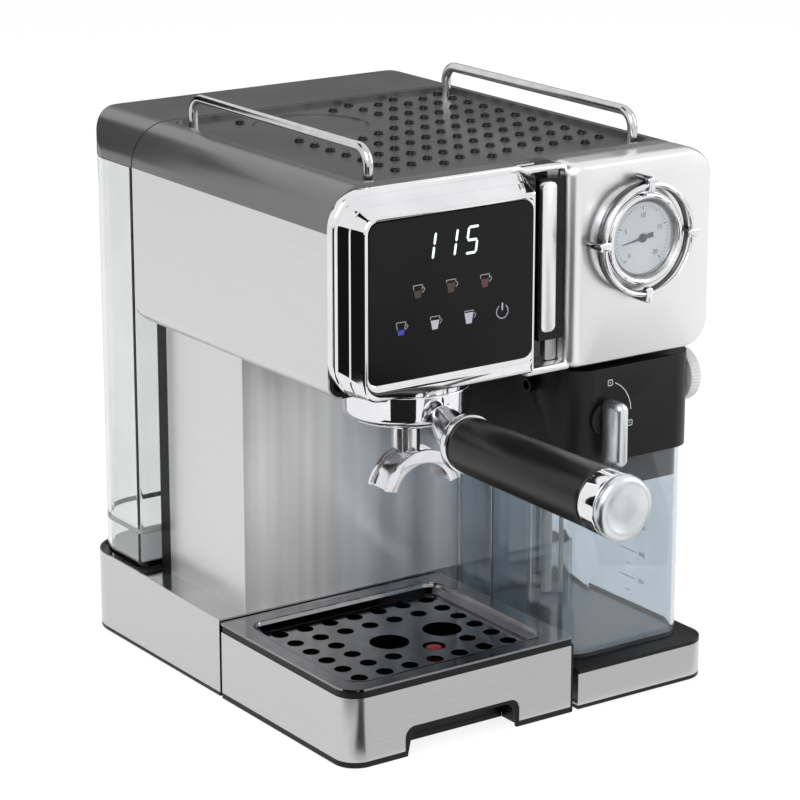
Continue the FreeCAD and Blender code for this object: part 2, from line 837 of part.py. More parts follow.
def control_board():
    x1 = column_x1 - skin - wall
    y0 = rear_y + skin + 3 * wall
    y1 = column_back - 3 * wall
    z0 = base_h + 2 * coil_half
    z1 = head_z0 - 2 * coil_half
    board = box(x1 - 4 * wall, x1 - 3.3 * wall, y0, y1, z0, z1)
    relay = box(x1 - 9 * wall, x1 - 4 * wall, y0 + wall, y0 + 9 * wall, z0 + wall, z0 + 9 * wall)
    post = rod_x((y0 + y1) / 2, z1 - 2 * wall, wall, x1 - 3.3 * wall, x1)
    post_low = rod_x((y0 + y1) / 2, z0 + 2 * wall, wall, x1 - 3.3 * wall, x1)
    return joined(board, relay, post, post_low)


# Socket in the base that the water tank's valve drops into
def tank_dock():
    r = valve_r + wall
    z0 = base_h - 3 * wall
    cup = rod_z(valve_x, valve_y, r, z0, base_h)
    well = rod_z(valve_x, valve_y, valve_r, z0 + wall, base_h + cut_over)
    spigot = rod_z(valve_x, valve_y, hose_r, skirt_top + 6 * hose_r, z0 + wall)
    return less(joined(cup, spigot), well)


# Portafilter
def pf_bowl():
    z0 = bowl_z0
    z1 = bowl_z1
    r = bowl_r
    cup_r = bayonet_r - 2 * skin
    well = z0 + bowl_floor
    profile = [(spout_post_r * 0.6, z0), (r - bowl_h * 0.35, z0), (r - bowl_h * 0.1, z0 + bowl_h * 0.12)]
    profile += [(r, z0 + bowl_h * 0.36), (r, z1), (bayonet_r, z1), (bayonet_r, rim_z), (cup_r, rim_z)]
    profile += [(cup_r, well), (spout_post_r * 0.6, well)]
    body = turned(group_x, group_y, profile)
    lug_z0 = collar_z0 + collar_lip + free_gap
    lugs = []
    for mid in (0, 180):
        sector = lug_sector(bayonet_r + lug_reach, lug_z0, lug_z0 + lug_t, lug_half_deg, mid)
        lugs.append(less(sector, rod_z(group_x, group_y, bayonet_r - skin, lug_z0, lug_z0 + lug_t)))
    return less(joined(body, *lugs), neck_shape())


def pf_basket():
    r = bayonet_r - 2 * skin
    floor = bowl_z0 + bowl_floor + skin
    t = basket_t
    profile = [(0, floor), (r - 2 * skin, floor), (r - skin, rim_z), (bayonet_r, rim_z), (bayonet_r, rim_z + t)]
    profile += [(r - skin - t, rim_z + t), (r - 2 * skin - t, floor + t), (0, floor + t)]
    return turned(group_x, group_y, profile)


# Arched open trough under a short post, one mouth each side
def pf_spout():
    z0 = spout_top
    post = rod_z(group_x, group_y, spout_post_r, z0, bowl_z0)
    thread = rod_z(group_x, group_y, spout_post_r * 0.6, bowl_z0, bowl_z0 + bowl_floor)
    y0 = group_y - spout_forward - spout_w / 2
    y1 = y0 + spout_w
    mid_z = z0 + spout_t / 2 - spout_r
    ring = rod_y(group_x, mid_z, spout_r, y0, y1)
    core = rod_y(group_x, mid_z, spout_r - spout_t, y0 - cut_over, y1 + cut_over)
    a = math.radians(spout_half_deg)
    far = 3 * spout_r
    fan = [(group_x, mid_z), (group_x + far * math.sin(a), mid_z + far * math.cos(a))]
    fan += [(group_x + far, mid_z + far), (group_x - far, mid_z + far)]
    fan += [(group_x - far * math.sin(a), mid_z + far * math.cos(a))]
    keep = prism("xz", fan, [0] * 5, y0 - cut_over, y1 + cut_over)
    arch = less(ring, core).common(keep)
    lane_core = rod_y(group_x, mid_z, spout_r - wall, y0, y1)
    lane = less(rod_y(group_x, mid_z, spout_r + cut_over, y0 + wall, y1 - wall), lane_core)
    bridge = rod_z(group_x, group_y, spout_post_r, z0 - spout_t, z0 + spout_t)
    lanes = less(lane, bridge)
    return joined(less(arch, lanes), post, thread)


def neck_shape():
    y0 = group_y - bowl_r + 3 * skin
    y1 = group_y - bowl_r - 4.6 * skin
    z0 = (bowl_z0 + bowl_z1) / 2
    ring_y = handle_ring_y()
    wires = []
    for y, z, r in ((y0, z0, 0.42 * bowl_h), (y1, z0 - wall, 0.6 * bowl_h), (ring_y, handle_z, neck_r)):
        wires.append(Part.Wire(Part.makeCircle(r, V(group_x, y, z), V(0, 1, 0))))
    return Part.makeLoft(wires, True, False)


def handle_ring_y():
    return group_y - bowl_r - 1.1 * neck_r


def pf_neck():
    y1 = handle_ring_y()
    y0 = y1 - handle_ring_l
    r = grip_r0 + skin
    profile = [(0, y1), (neck_r, y1), (r, y1 - handle_ring_l / 3), (r, y0), (0, y0)]
    ring = turned_y(group_x, handle_z, profile)
    return joined(neck_shape(), ring)


def pf_grip():
    y1 = handle_ring_y() - handle_ring_l
    y0 = handle_end + cap_l + ferrule_l
    mid = (y0 + y1) / 2
    waist = (grip_r0 + grip_r1) / 2
    profile = [(0, y1), (grip_r0, y1), (waist, mid), (grip_r1, y0), (0, y0)]
    return turned_y(group_x, handle_z, profile)


def pf_ferrule():
    y0 = handle_end + cap_l
    return rod_y(group_x, handle_z, grip_r1 + run_fit, y0, y0 + ferrule_l)


def pf_cap():
    y0 = handle_end
    y1 = y0 + cap_l
    profile = [(0, y1), (cap_r, y1), (cap_r, y0 + 2 * skin), (cap_r - 2 * skin, y0)]
    profile += [(cap_r - 5 * skin, y0), (cap_r - 6 * skin, y0 + skin), (0, y0 + skin)]
    return turned_y(group_x, handle_z, profile)


# Drip tray: black tub, steel skin, lift-off grid and red level float
def tray_notch(grow, y1):
    mid = tray_w / 2
    half = notch_w / 2 + grow
    top = notch_h + grow
    face = rect(mid - half, mid + half, -cut_over, top)
    return prism("xz", face, [0, 0, notch_r, notch_r], -cut_over, y1)


def tray_plan(inset):
    return rect(inset, tray_w - inset, inset, tray_d - inset)


def tray_tub():
    rim_z1 = tray_h - grid_t - free_gap
    rim_z0 = rim_z1 - tray_trim_h
    r = tray_corner_r
    floor_z = skirt_top + free_gap
    body = prism("xy", tray_plan(skin), [r - skin, skin, skin, skin], floor_z, rim_z0)
    rim = prism("xy", tray_plan(skin / 2), [r - skin, skin, skin, skin], rim_z0, rim_z1)
    hem = prism("xy", tray_plan(skin / 2), [r - skin, skin, skin, skin], foot_h, floor_z)
    hem_in = rect(3 * skin, tray_w - 3 * skin, notch_depth, tray_d + cut_over)
    hem_way = prism("xy", hem_in, [0] * 4, 0, floor_z)
    inset = skin + wall
    hollow = prism("xy", tray_plan(inset), [r - inset, skin, skin, skin], floor_z + wall, tray_h)
    keep = tray_notch(wall, notch_depth + wall)
    post = rod_z(float_x, float_y, float_post_r, floor_z, float_z0 + 3 * wall)
    tub = less(joined(body, rim, less(hem, hem_way)), less(hollow, keep), tray_notch(0, notch_depth))
    return joined(tub, post)


def tray_skin():
    z0 = skirt_top + free_gap
    z1 = tray_h - grid_t - free_gap - tray_trim_h
    r = tray_corner_r
    outer = prism("xy", tray_plan(0), [r, skin, skin, skin], z0, z1)
    inner = prism("xy", tray_plan(skin), [r - skin, skin / 2, skin / 2, skin / 2], z0 - cut_over, z1 + cut_over)
    back = box(-cut_over, tray_w + cut_over, tray_d - skin, tray_d + cut_over, z0 - cut_over, z1 + cut_over)
    return less(outer, inner, back, tray_notch(0, notch_depth))


def drip_grid():
    r = tray_corner_r
    z1 = tray_h
    lip = prism("xy", tray_plan(0), [r, skin, skin, skin], z1 - grid_t, z1)
    well_r = r - 2 * skin
    basin = prism("xy", tray_plan(grid_rim - grid_t), [well_r] * 4, z1 - grid_sink - grid_t, z1)
    inside = prism("xy", tray_plan(grid_rim), [well_r - grid_t] * 4, z1 - grid_sink, z1 + cut_over)
    plate = less(joined(lip, basin), inside)
    return less(plate, *grid_holes())


def grid_holes():
    z0 = tray_h - grid_sink - grid_t - cut_over
    z1 = tray_h
    columns = int((tray_w - 2 * grid_edge_x) / grid_pitch_x) + 1
    rows = int((tray_d - 2 * grid_edge_y) / grid_pitch_y) + 1
    x0 = tray_w / 2 - (columns - 1) * grid_pitch_x / 2
    y0 = tray_d / 2 + grid_back - (rows - 1) * grid_pitch_y / 2
    shapes = [rod_z(x, y, finger_hole_r, z0, z1) for x, y in finger_holes()]
    shapes.append(rod_z(float_x, float_y, float_hole_r, z0, z1))
    for i in range(columns):
        for j in range(rows):
            x = x0 + i * grid_pitch_x
            y = y0 + j * grid_pitch_y
            if grid_room(x, y):
                shapes.append(rod_z(x, y, grid_hole_r, z0, z1))
    return shapes


# True where a drain hole stays clear of the float hole and of the band that joins the finger holes
def grid_room(x, y):
    spare = grid_hole_r + skin
    (left, mid_y), (right, _) = finger_holes()
    band_x = min(max(x, left), right)
    off_band = math.hypot(x - band_x, y - mid_y) > finger_hole_r + spare
    off_float = math.hypot(x - float_x, y - float_y) > float_hole_r + spare
    return off_band and off_float


def finger_holes():
    mid = tray_w / 2 + finger_right
    y = tray_d / 2 - finger_back
    return [(mid - finger_apart / 2, y), (mid + finger_apart / 2, y)]


def level_float():
    top = tray_h - grid_sink - grid_t - float_sink
    body = rod_z(float_x, float_y, float_r, float_z0, float_z0 + 3 * wall)
    stem = rod_z(float_x, float_y, float_stem_r, float_z0, top)
    bore_top = float_z0 + 3 * wall + free_gap + float_rise
    bore = rod_z(float_x, float_y, float_post_r + run_fit, float_z0 - cut_over, bore_top)
    return less(joined(body, stem), bore)


# Clear water tank, its valve, its hinged lid and the hinge pin
def tank_plan(inset):
    return rect(tank_x0 + inset, tank_x1 - inset, tank_y + inset, tank_y1 - inset)


def tank_shell():
    fr = tank_front_r
    rr = tank_rear_r - skin
    t = tank_wall
    outer = prism("xy", tank_plan(0), [fr, fr, rr, rr], tank_z0, tank_z1)
    inner = prism("xy", tank_plan(t), [fr - t, fr - t, rr - t, rr - t], tank_z0 + t, tank_z1 + cut_over)
    heel_y = lid_pin_y - lid_heel_r - free_gap
    heel = box(tank_x0, tank_x1, heel_y, machine_d, tank_rear_z1, tank_z1 + cut_over)
    way = rod_z(valve_x, valve_y, valve_r - 2 * wall, tank_z0 - cut_over, tank_z0 + t + cut_over)
    shell = less(outer, inner, heel, way)
    ears = [less(ear(x), rod_x(lid_pin_y, lid_pin_z, lid_pin_r, tank_x0, tank_x1)) for x in ear_places()]
    return joined(shell, *ears)


ear_w = 6.0


def ear_places():
    return [machine_w * 0.25, machine_w * 0.75]


# Upright ear on the tank's rear wall that holds the hinge pin
def ear(x):
    y0 = lid_pin_y - 2 * lid_pin_r
    y1 = tank_y1 - tank_wall / 2
    stem = box(x, x + ear_w, y0, y1, tank_rear_z1 - 4 * wall, tank_rear_z1)
    neck = box(x, x + ear_w, y0, lid_pin_y + 2 * lid_pin_r, tank_rear_z1, lid_pin_z)
    eye = rod_x(lid_pin_y, lid_pin_z, 2 * lid_pin_r, x, x + ear_w)
    return joined(stem, neck, eye)


def lid_pin():
    x0 = ear_places()[0] - 2 * ear_w
    x1 = ear_places()[1] + 3 * ear_w
    return rod_x(lid_pin_y, lid_pin_z, lid_pin_r, x0, x1)


def tank_lid():
    r = cover_roll_r
    rr = tank_rear_r
    side = prism("xz", cover_profile(cover_z0, 0), [0, 0, r, r], tank_y, machine_d)
    plan = rect(head_x0, head_x1, tank_y, machine_d)
    outer = side.common(prism("xy", plan, [0, 0, rr, rr], cover_z0, cover_z1))
    t = wall
    inner_side = prism("xz", cover_profile(cover_z0 - cut_over, t), [0, 0, r - t, r - t], tank_y, machine_d)
    inner_plan = rect(head_x0 + t, head_x1 - t, tank_y + t, machine_d - t)
    inner = inner_side.common(prism("xy", inner_plan, [0, 0, rr - t, rr - t], cover_z0 - cut_over, cover_z1))
    shell = less(outer, inner)
    apart = ear_w + free_gap
    knuckles = [knuckle(x) for ear_x in ear_places() for x in (ear_x - apart, ear_x + apart)]
    heel = rect(lid_pin_y, machine_d + cut_over, cover_z0 - cut_over, lid_pin_z)
    low_corner = prism("yz", heel, [0] * 4, head_x0 - cut_over, head_x1 + cut_over)
    spare = rod_x(lid_pin_y, lid_pin_z, lid_heel_r, head_x0 - 2 * cut_over, head_x1 + 2 * cut_over)
    way = rod_x(lid_pin_y, lid_pin_z, lid_pin_r + run_fit, head_x0 + t, head_x1 - t)
    slots = [ear_slot(x) for x in ear_places()]
    return less(joined(shell, *knuckles), less(low_corner, spare), way, *slots)


# Slot in the lid's rear wall that passes the tank's ear as the lid swings up
def ear_slot(x):
    x0 = x - free_gap
    x1 = x + ear_w + free_gap
    y0 = lid_pin_y + 2 * lid_pin_r
    return box(x0, x1, y0, machine_d + cut_over, cover_z0 - cut_over, lid_pin_z + lid_heel_r)


# Lug inside the lid that turns on the hinge pin
def knuckle(x):
    r = 2 * lid_pin_r
    eye = rod_x(lid_pin_y, lid_pin_z, r, x, x + ear_w)
    rib = box(x, x + ear_w, lid_pin_y - r, lid_pin_y + r, lid_pin_z, cover_z1 - wall / 2)
    return joined(eye, rib)


def tank_valve():
    r = valve_r - free_gap
    plug = rod_z(valve_x, valve_y, r, base_h - 3 * free_gap, tank_z0)
    neck = rod_z(valve_x, valve_y, valve_r - 2 * wall, tank_z0, tank_z0 + 3 * wall)
    return joined(plug, neck)


# Milk container with its frother head
def milk_plan(inset):
    return rect(milk_x0 + inset, milk_x1 - inset, milk_y0 + inset, milk_y1 - inset)


def milk_grip(inset):
    x1 = milk_x0 + milk_grip_depth + inset
    y0 = milk_grip_y0 - inset
    y1 = milk_grip_y1 + inset
    return box(milk_x0 - cut_over, x1, y0, y1, milk_z0 - cut_over, milk_z1 - frother_skirt - 4 * wall + inset)


def milk_tank():
    r = milk_corner_r
    t = milk_wall
    outer = prism("xy", milk_plan(0), [r, r, r / 2, r / 2], milk_z0, milk_z1)
    inner = prism("xy", milk_plan(t), [r - t, r - t, r / 2 - t, r / 2 - t], milk_z0 + t, milk_z1 + cut_over)
    return less(outer, less(inner, milk_grip(t)), milk_grip(0))


def frother_housing():
    r = milk_corner_r + frother_lap
    plan = rect(frother_x0, frother_x1, frother_y0, frother_y1)
    block = prism("xy", plan, [r, r, r / 3, r / 3], frother_z0, frother_z1)
    t = frother_bottom_t
    room = rect(frother_x0 + t, frother_x1 - t, frother_y0 + t, frother_y1 - t)
    hollow = prism("xy", room, [r - t, r - t, 0, 0], frother_z0 + t, frother_z1 - t)
    d = milk_wall + run_fit
    skirt_r = milk_corner_r - d
    back_r = milk_corner_r / 2 - milk_wall
    skirt = prism("xy", milk_plan(d), [skirt_r, skirt_r, back_r, back_r], frother_z0 - frother_skirt, frother_z0)
    e = d + milk_wall
    skirt_in = prism("xy", milk_plan(e), [skirt_r / 2] * 4, frother_z0 - frother_skirt - cut_over, frother_z0)
    steam_way = rod_y(steam_x, steam_z, steam_r + free_gap, frother_y1 - 2 * steam_reach, frother_y1 + cut_over)
    knob_way = rod_x(knob_y, knob_z, knob_spindle_r + run_fit, frother_x1 - 3 * t, frother_x1 + cut_over)
    boss_way = rod_y(lever_x, lever_z, knob_spindle_r + run_fit, frother_y0 - cut_over, frother_y0 + 3 * t)
    pipe_way = rod_z(intake_x, intake_y, intake_r, frother_z0 - cut_over, frother_z0 + 2 * t)
    spout_way = rod_x(milk_spout_y, milk_spout_z, milk_spout_r, frother_x0 - cut_over, frother_x0 + 2 * t)
    shell = joined(less(block, hollow), less(skirt, skirt_in))
    return less(shell, steam_way, knob_way, boss_way, pipe_way, spout_way)


intake_x = (milk_x0 + milk_x1) / 2 + 8.0
intake_y = milk_y1 - 28.0
milk_spout_z = frother_z1 - milk_spout_drop


def milk_intake():
    z0 = milk_z0 + 2 * milk_wall + intake_r
    stem = rod_z(intake_x, intake_y, intake_r, z0, frother_z0 + 2 * frother_bottom_t)
    return less(stem, rod_z(intake_x, intake_y, intake_r / 2, z0, frother_z0 + frother_h))


def milk_spout():
    x0 = frother_x0 - milk_spout_reach
    x1 = frother_x0 + 2 * frother_bottom_t
    stem = rod_x(milk_spout_y, milk_spout_z, milk_spout_r, x0, x1)
    return less(stem, rod_x(milk_spout_y, milk_spout_z, milk_spout_r * 0.65, x0 - cut_over, x1 + cut_over))


# Chrome lever that picks the froth drink; it turns on a spindle in the frother's front
def froth_lever():
    y1 = frother_y0 - free_gap
    y0 = y1 - lever_stand
    half = lever_w / 2
    bar_face = rect(lever_x - half, lever_x + half, lever_z - lever_down, lever_z + lever_up)
    bar = prism("xz", bar_face, [half - run_fit] * 4, y0, y1 - 2 * skin)
    boss = rod_y(lever_x, lever_z, lever_boss_r, y1 - 2 * skin, y1)
    spindle = rod_y(lever_x, lever_z, knob_spindle_r, y1, frother_y0 + 3 * frother_bottom_t)
    return joined(bar, boss, spindle)


def froth_knob():
    x0 = frother_x1 + free_gap
    disc = rod_x(knob_y, knob_z, knob_r, x0, knob_x)
    spindle = rod_x(knob_y, knob_z, knob_spindle_r, frother_x1 - 3 * frother_bottom_t, x0)
    return joined(disc, spindle)


# Fixed frame
save("base_plate", base_plate())
save("feet", *feet())
save("base_shell", base_shell())
save("base_wrap", base_wrap())
save("platform_strip", platform_strip())
save("platform_plate", platform_plate())
save("cord_gland", cord_gland())
save("tank_dock", tank_dock())
save("column_shell", column_shell())
save("splash_panel", splash_panel())
save("column_sides", *column_sides())
save("dock_panel", dock_panel())
save("steam_nozzle", steam_nozzle())
save("head_pan", head_pan())
save("head_sides", *head_sides())
save("top_cover", top_cover())
save("cup_rail_left", cup_rail(rail_xl))
save("cup_rail_right", cup_rail(rail_xr))
save("glass_frame", glass_frame())
save("touch_glass", touch_glass())
save("display_board", display_board())
save("channel_trim", channel_trim())
save("trim_bar", trim_bar())
save("gauge_panel", gauge_panel())
save("gauge_case", gauge_case())
save("gauge_dial", gauge_dial())
save("gauge_ring", gauge_ring())
save("gauge_lens", gauge_lens())
save("guard_wires", *guard_wires())
save("guard_clamps", *guard_clamps())
save("group_collar", group_collar())
save("brew_head", brew_head())
save("group_gasket", group_gasket())
save("shower_screen", shower_screen())
save("boiler", boiler())
save("pump", pump())
save("hoses", *hoses())
save("control_board", control_board())

# Moving parts
save("gauge_needle", gauge_needle())
save("pf_bowl", pf_bowl())
save("pf_basket", pf_basket())
save("pf_spout", pf_spout())
save("pf_neck", pf_neck())
save("pf_grip", pf_grip())
save("pf_ferrule", pf_ferrule())
save("pf_cap", pf_cap())
save("tray_tub", tray_tub())
save("tray_skin", tray_skin())
save("drip_grid", drip_grid())
save("level_float", level_float())
save("tank_shell", tank_shell())
save("tank_valve", tank_valve())
save("lid_pin", lid_pin())
save("tank_lid", tank_lid())
save("milk_tank", milk_tank())
save("frother_housing", frother_housing())
save("milk_intake", milk_intake())
save("milk_spout", milk_spout())
save("froth_lever", froth_lever())
save("froth_knob", froth_knob())
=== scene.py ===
import math

import bmesh
import bpy
from mathutils import Matrix, Vector


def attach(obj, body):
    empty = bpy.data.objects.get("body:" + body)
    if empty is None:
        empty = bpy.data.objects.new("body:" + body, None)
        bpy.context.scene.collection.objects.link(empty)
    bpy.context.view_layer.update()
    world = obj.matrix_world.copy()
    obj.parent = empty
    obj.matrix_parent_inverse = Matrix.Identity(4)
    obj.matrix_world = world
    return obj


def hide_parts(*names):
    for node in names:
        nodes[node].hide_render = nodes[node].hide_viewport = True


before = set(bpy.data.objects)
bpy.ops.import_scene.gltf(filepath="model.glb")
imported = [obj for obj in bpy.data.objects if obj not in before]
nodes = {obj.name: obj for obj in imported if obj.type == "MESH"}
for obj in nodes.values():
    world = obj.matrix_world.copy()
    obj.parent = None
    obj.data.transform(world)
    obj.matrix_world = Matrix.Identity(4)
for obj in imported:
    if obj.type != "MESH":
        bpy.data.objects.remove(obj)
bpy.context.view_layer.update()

# Lengths are millimetres while a piece is modelled, and metres once it is finished.
MM = 0.001

# The drawing's own corner, left of the base and level with the drip tray's front, in the frame
DRAWING_X = -123.0
DRAWING_Y = -73.15

# Directions in the frame
TO_RIGHT, TO_REAR, UPRIGHT = (1, 0, 0), (0, 1, 0), (0, 0, 1)


# Colours are written as sRGB hex and turned to linear here.
def colour(code):
    parts = [int(code[i:i + 2], 16) / 255 for i in (1, 3, 5)]
    linear = [p / 12.92 if p <= 0.04045 else ((p + 0.055) / 1.055) ** 2.4 for p in parts]
    return (*linear, 1.0)


# Adds one shader node, sets its fields and sockets, and links its inputs.
def add(tree, kind, sockets=None, links=None, **fields):
    node = tree.nodes.new(kind)
    for field, value in fields.items():
        setattr(node, field, value)
    for socket, value in (sockets or {}).items():
        node.inputs[socket].default_value = value
    for socket, source in (links or {}).items():
        tree.links.new(source, node.inputs[socket])
    return node


def new_material(name):
    material = bpy.data.materials.new(name)
    material.use_nodes = True
    tree = material.node_tree
    tree.nodes.clear()
    return material, tree


# A cloudy pattern whose spots are about so many millimetres wide
def clouds(tree, place, spot_mm, detail=2.0):
    return add(tree, "ShaderNodeTexNoise", {"Scale": 1 / (spot_mm * MM), "Detail": detail},
               {"Vector": place.outputs["Object"]})


# The same pattern drawn out to its own length along each axis
def drawn_clouds(tree, place, sizes_mm, detail, rough=0.5):
    scale = tuple(1 / (size * MM) for size in sizes_mm)
    stretched = add(tree, "ShaderNodeMapping", {"Scale": scale}, {"Vector": place.outputs["Object"]})
    return add(tree, "ShaderNodeTexNoise", {"Scale": 1.0, "Detail": detail, "Roughness": rough},
               {"Vector": stretched.outputs["Vector"]})


# Two close tones, mixed by a pattern
def two_tones(tree, pattern, low, high):
    ramp = add(tree, "ShaderNodeValToRGB", links={"Fac": pattern.outputs["Fac"]})
    for element, position, tone in zip(ramp.color_ramp.elements, (0.35, 0.65), (low, high)):
        element.position = position
        element.color = colour(tone)
    return ramp.outputs["Color"]


# A value that drifts between two ends with a pattern
def drifting(tree, pattern, low, high):
    spread = add(tree, "ShaderNodeMapRange", {"To Min": low, "To Max": high},
                 {"Value": pattern.outputs["Fac"]})
    return spread.outputs["Result"]


def surface(tree, shader):
    add(tree, "ShaderNodeOutputMaterial", links={"Surface": shader.outputs[0]})


# Sheet steel brushed with a fibre wheel: fine parallel scratches that smear each reflection
# across the brush lines. The scratches are about 0.3 mm apart, drawn at 0.9 mm so that they show.
# Broad upright streaks, darkened by the streak shade and multiplied into the tint, are painted reflection
# bands.
def brushed_stainless(name, low, high, rough_low, rough_high, smear, depth, metal=1.0, streak="#ffffff"):
    line_mm, run_mm = 0.9, 60.0
    streak_mm, streak_run_mm = 22.0, 500.0
    handled_mm = 55.0
    material, tree = new_material(name)
    place = add(tree, "ShaderNodeTexCoord")
    lines = drawn_clouds(tree, place, (run_mm, run_mm, line_mm), 3.0, 0.6)
    cloud_field = drawn_clouds(tree, place, (streak_mm, streak_mm, streak_run_mm), 2.0)
    handled = clouds(tree, place, handled_mm)
    tint = two_tones(tree, lines, low, high)
    painted_reflection_streaks = two_tones(tree, cloud_field, streak, "#ffffff")
    shade = add(tree, "ShaderNodeMixRGB", {"Fac": 1.0}, {"Color1": tint, "Color2": painted_reflection_streaks},
                blend_type="MULTIPLY")
    rough = drifting(tree, handled, rough_low, rough_high)
    relief = add(tree, "ShaderNodeBump", {"Strength": depth, "Distance": 0.05 * MM},
                 {"Height": lines.outputs["Fac"]})
    flow = add(tree, "ShaderNodeTangent", direction_type="RADIAL", axis="Z")
    skin = add(tree, "ShaderNodeBsdfPrincipled",
               {"Metallic": metal, "Anisotropic": smear, "Anisotropic Rotation": 0.25},
               {"Base Color": shade.outputs["Color"], "Roughness": rough,
                "Normal": relief.outputs["Normal"], "Tangent": flow.outputs["Tangent"]})
    surface(tree, skin)
    return material


# Plated or buffed metal: a near mirror whose sharpness drifts a little where it was wiped.
def buffed_metal(name, low, high, rough_low, rough_high, smear_mm):
    material, tree = new_material(name)
    place = add(tree, "ShaderNodeTexCoord")
    cloud_field = clouds(tree, place, smear_mm, 4.0)
    skin = add(tree, "ShaderNodeBsdfPrincipled", {"Metallic": 1.0},
               {"Base Color": two_tones(tree, cloud_field, low, high),
                "Roughness": drifting(tree, cloud_field, rough_low, rough_high)})
    surface(tree, skin)
    return material


# Moulded plastic from a spark-eroded tool: an even fine grain that breaks up the gloss.
def moulded_plastic(name, low, high, rough_low, rough_high, grain_mm, grain_depth, ior=1.53, level=0.5):
    cloud_mm = 35.0
    material, tree = new_material(name)
    place = add(tree, "ShaderNodeTexCoord")
    grain = clouds(tree, place, grain_mm)
    cloud = clouds(tree, place, cloud_mm, 3.0)
    relief = add(tree, "ShaderNodeBump", {"Strength": grain_depth, "Distance": 0.04 * MM},
                 {"Height": grain.outputs["Fac"]})
    skin = add(tree, "ShaderNodeBsdfPrincipled", {"IOR": ior, "Specular IOR Level": level},
               {"Base Color": two_tones(tree, cloud, low, high), "Normal": relief.outputs["Normal"],
                "Roughness": drifting(tree, cloud, rough_low, rough_high)})
    surface(tree, skin)
    return material


# Clear moulded plastic: bent light at the edges, and a very slight flow ripple in the walls.
def clear_moulding(name, low, high, rough, ior, clear=1.0):
    ripple_mm = 40.0
    material, tree = new_material(name)
    place = add(tree, "ShaderNodeTexCoord")
    flow = clouds(tree, place, ripple_mm, 1.0)
    relief = add(tree, "ShaderNodeBump", {"Strength": 0.03, "Distance": 0.2 * MM},
                 {"Height": flow.outputs["Fac"]})
    skin = add(tree, "ShaderNodeBsdfPrincipled",
               {"Transmission Weight": clear, "Roughness": rough, "IOR": ior},
               {"Base Color": two_tones(tree, flow, low, high), "Normal": relief.outputs["Normal"]})
    surface(tree, skin)
    return material


# Printed ink or a lit segment under glass: flat, even, with a soft speckle from the print screen.
def printed_mark(name, low, high, glow):
    speck_mm = 0.8
    material, tree = new_material(name)
    place = add(tree, "ShaderNodeTexCoord")
    tint = two_tones(tree, clouds(tree, place, speck_mm, 1.0), low, high)
    skin = add(tree, "ShaderNodeBsdfPrincipled", {"Roughness": 0.4, "Emission Strength": glow},
               {"Base Color": tint, "Emission Color": tint})
    surface(tree, skin)
    return material


steel_upright = brushed_stainless("stainless_sheet_brushed_level", "#d2d2d2", "#d5d5d5", 0.26, 0.32, 0.55,
                                  0.002)
steel_base = brushed_stainless("stainless_base_brushed_level", "#c5c5c5", "#c8c8c8", 0.22, 0.28, 0.5, 0.002)
# Splash panel: its tint is raised near white, brighter than steel, as painted light for the part the head
# shades, and its #cfcfcf upright streaks are painted reflection bands.
steel_splash = brushed_stainless("stainless_splash_brushed_level", "#f2f2f2", "#f5f5f5", 0.28, 0.34, 0.93,
                                 0.003, 0.8, "#cfcfcf")
# The grid's tint is darkened well below polished steel: painted dark reflection of the splash and head behind
# it.
grid_steel = buffed_metal("stainless_pressed_polished", "#8a8a8d", "#959598", 0.08, 0.13, 14.0)
# Polished wire with its tint darkened: on the guard posts and clamp sides it is painted shade and dark
# reflection beside the bright clamp fronts, and it makes the back ring darker.
wire_darkened = buffed_metal("steel_wire_darkened", "#5a5a5d", "#68686b", 0.06, 0.12, 6.0)
steel_polished = buffed_metal("stainless_sheet_polished", "#bcbcbd", "#c8c8c9", 0.1, 0.18, 18.0)
steel_wire = buffed_metal("stainless_wire_polished", "#c4c4c5", "#d2d2d3", 0.1, 0.2, 9.0)
chrome_soft = buffed_metal("chrome_plate_over_casting", "#dcdcde", "#e6e6e8", 0.14, 0.2, 15.0)
chrome = buffed_metal("chrome_plate_mirror", "#e2e2e4", "#ececee", 0.03, 0.07, 25.0)
panel_bright = buffed_metal("zinc_panel_satin_nickel", "#e9e9e9", "#ebebeb", 0.28, 0.32, 60.0)
cap_metal = buffed_metal("aluminium_satin_anodised", "#ccd1d3", "#dde1e2", 0.26, 0.34, 12.0)
cast_metal = buffed_metal("aluminium_die_cast", "#9a9b9c", "#b0b1b2", 0.4, 0.55, 3.0)
cover_grey = moulded_plastic("steel_cover_grey_lacquered", "#424243", "#484849", 0.2, 0.26, 0.9, 0.06,
                             1.6, 1.0)
black_satin = moulded_plastic("abs_black_fine_grain", "#0b0b0c", "#101011", 0.34, 0.44, 0.6, 0.25, 1.5, 0.25)
black_gloss = moulded_plastic("abs_black_gloss", "#0b0b0c", "#121213", 0.08, 0.14, 1.2, 0.05)
grip_black = moulded_plastic("phenolic_grip_matte", "#0a0a0b", "#0e0e0f", 0.3, 0.36, 0.5, 0.15, 1.5, 0.4)
nub_rubber = moulded_plastic("rubber_nub_moulded", "#0b0b0c", "#101011", 0.16, 0.22, 0.8, 0.1, 1.45, 0.2)
foot_rubber = moulded_plastic("rubber_foot_moulded", "#141414", "#1c1c1c", 0.7, 0.85, 0.7, 0.4)
seal_rubber = moulded_plastic("silicone_seal_moulded", "#4a2f2a", "#553630", 0.5, 0.6, 0.7, 0.3)
knob_grey = moulded_plastic("abs_knob_pale_grey", "#c3c4c5", "#cfd0d1", 0.36, 0.46, 0.6, 0.2)
hose_white = moulded_plastic("silicone_hose_extruded", "#d9d9d5", "#e4e4e0", 0.4, 0.5, 0.8, 0.2)
board_green = moulded_plastic("fibreglass_board_coated", "#1d4a2c", "#255a36", 0.3, 0.4, 0.9, 0.2)
float_red = moulded_plastic("polypropylene_float_red", "#7d1424", "#96202f", 0.25, 0.35, 0.8, 0.15)
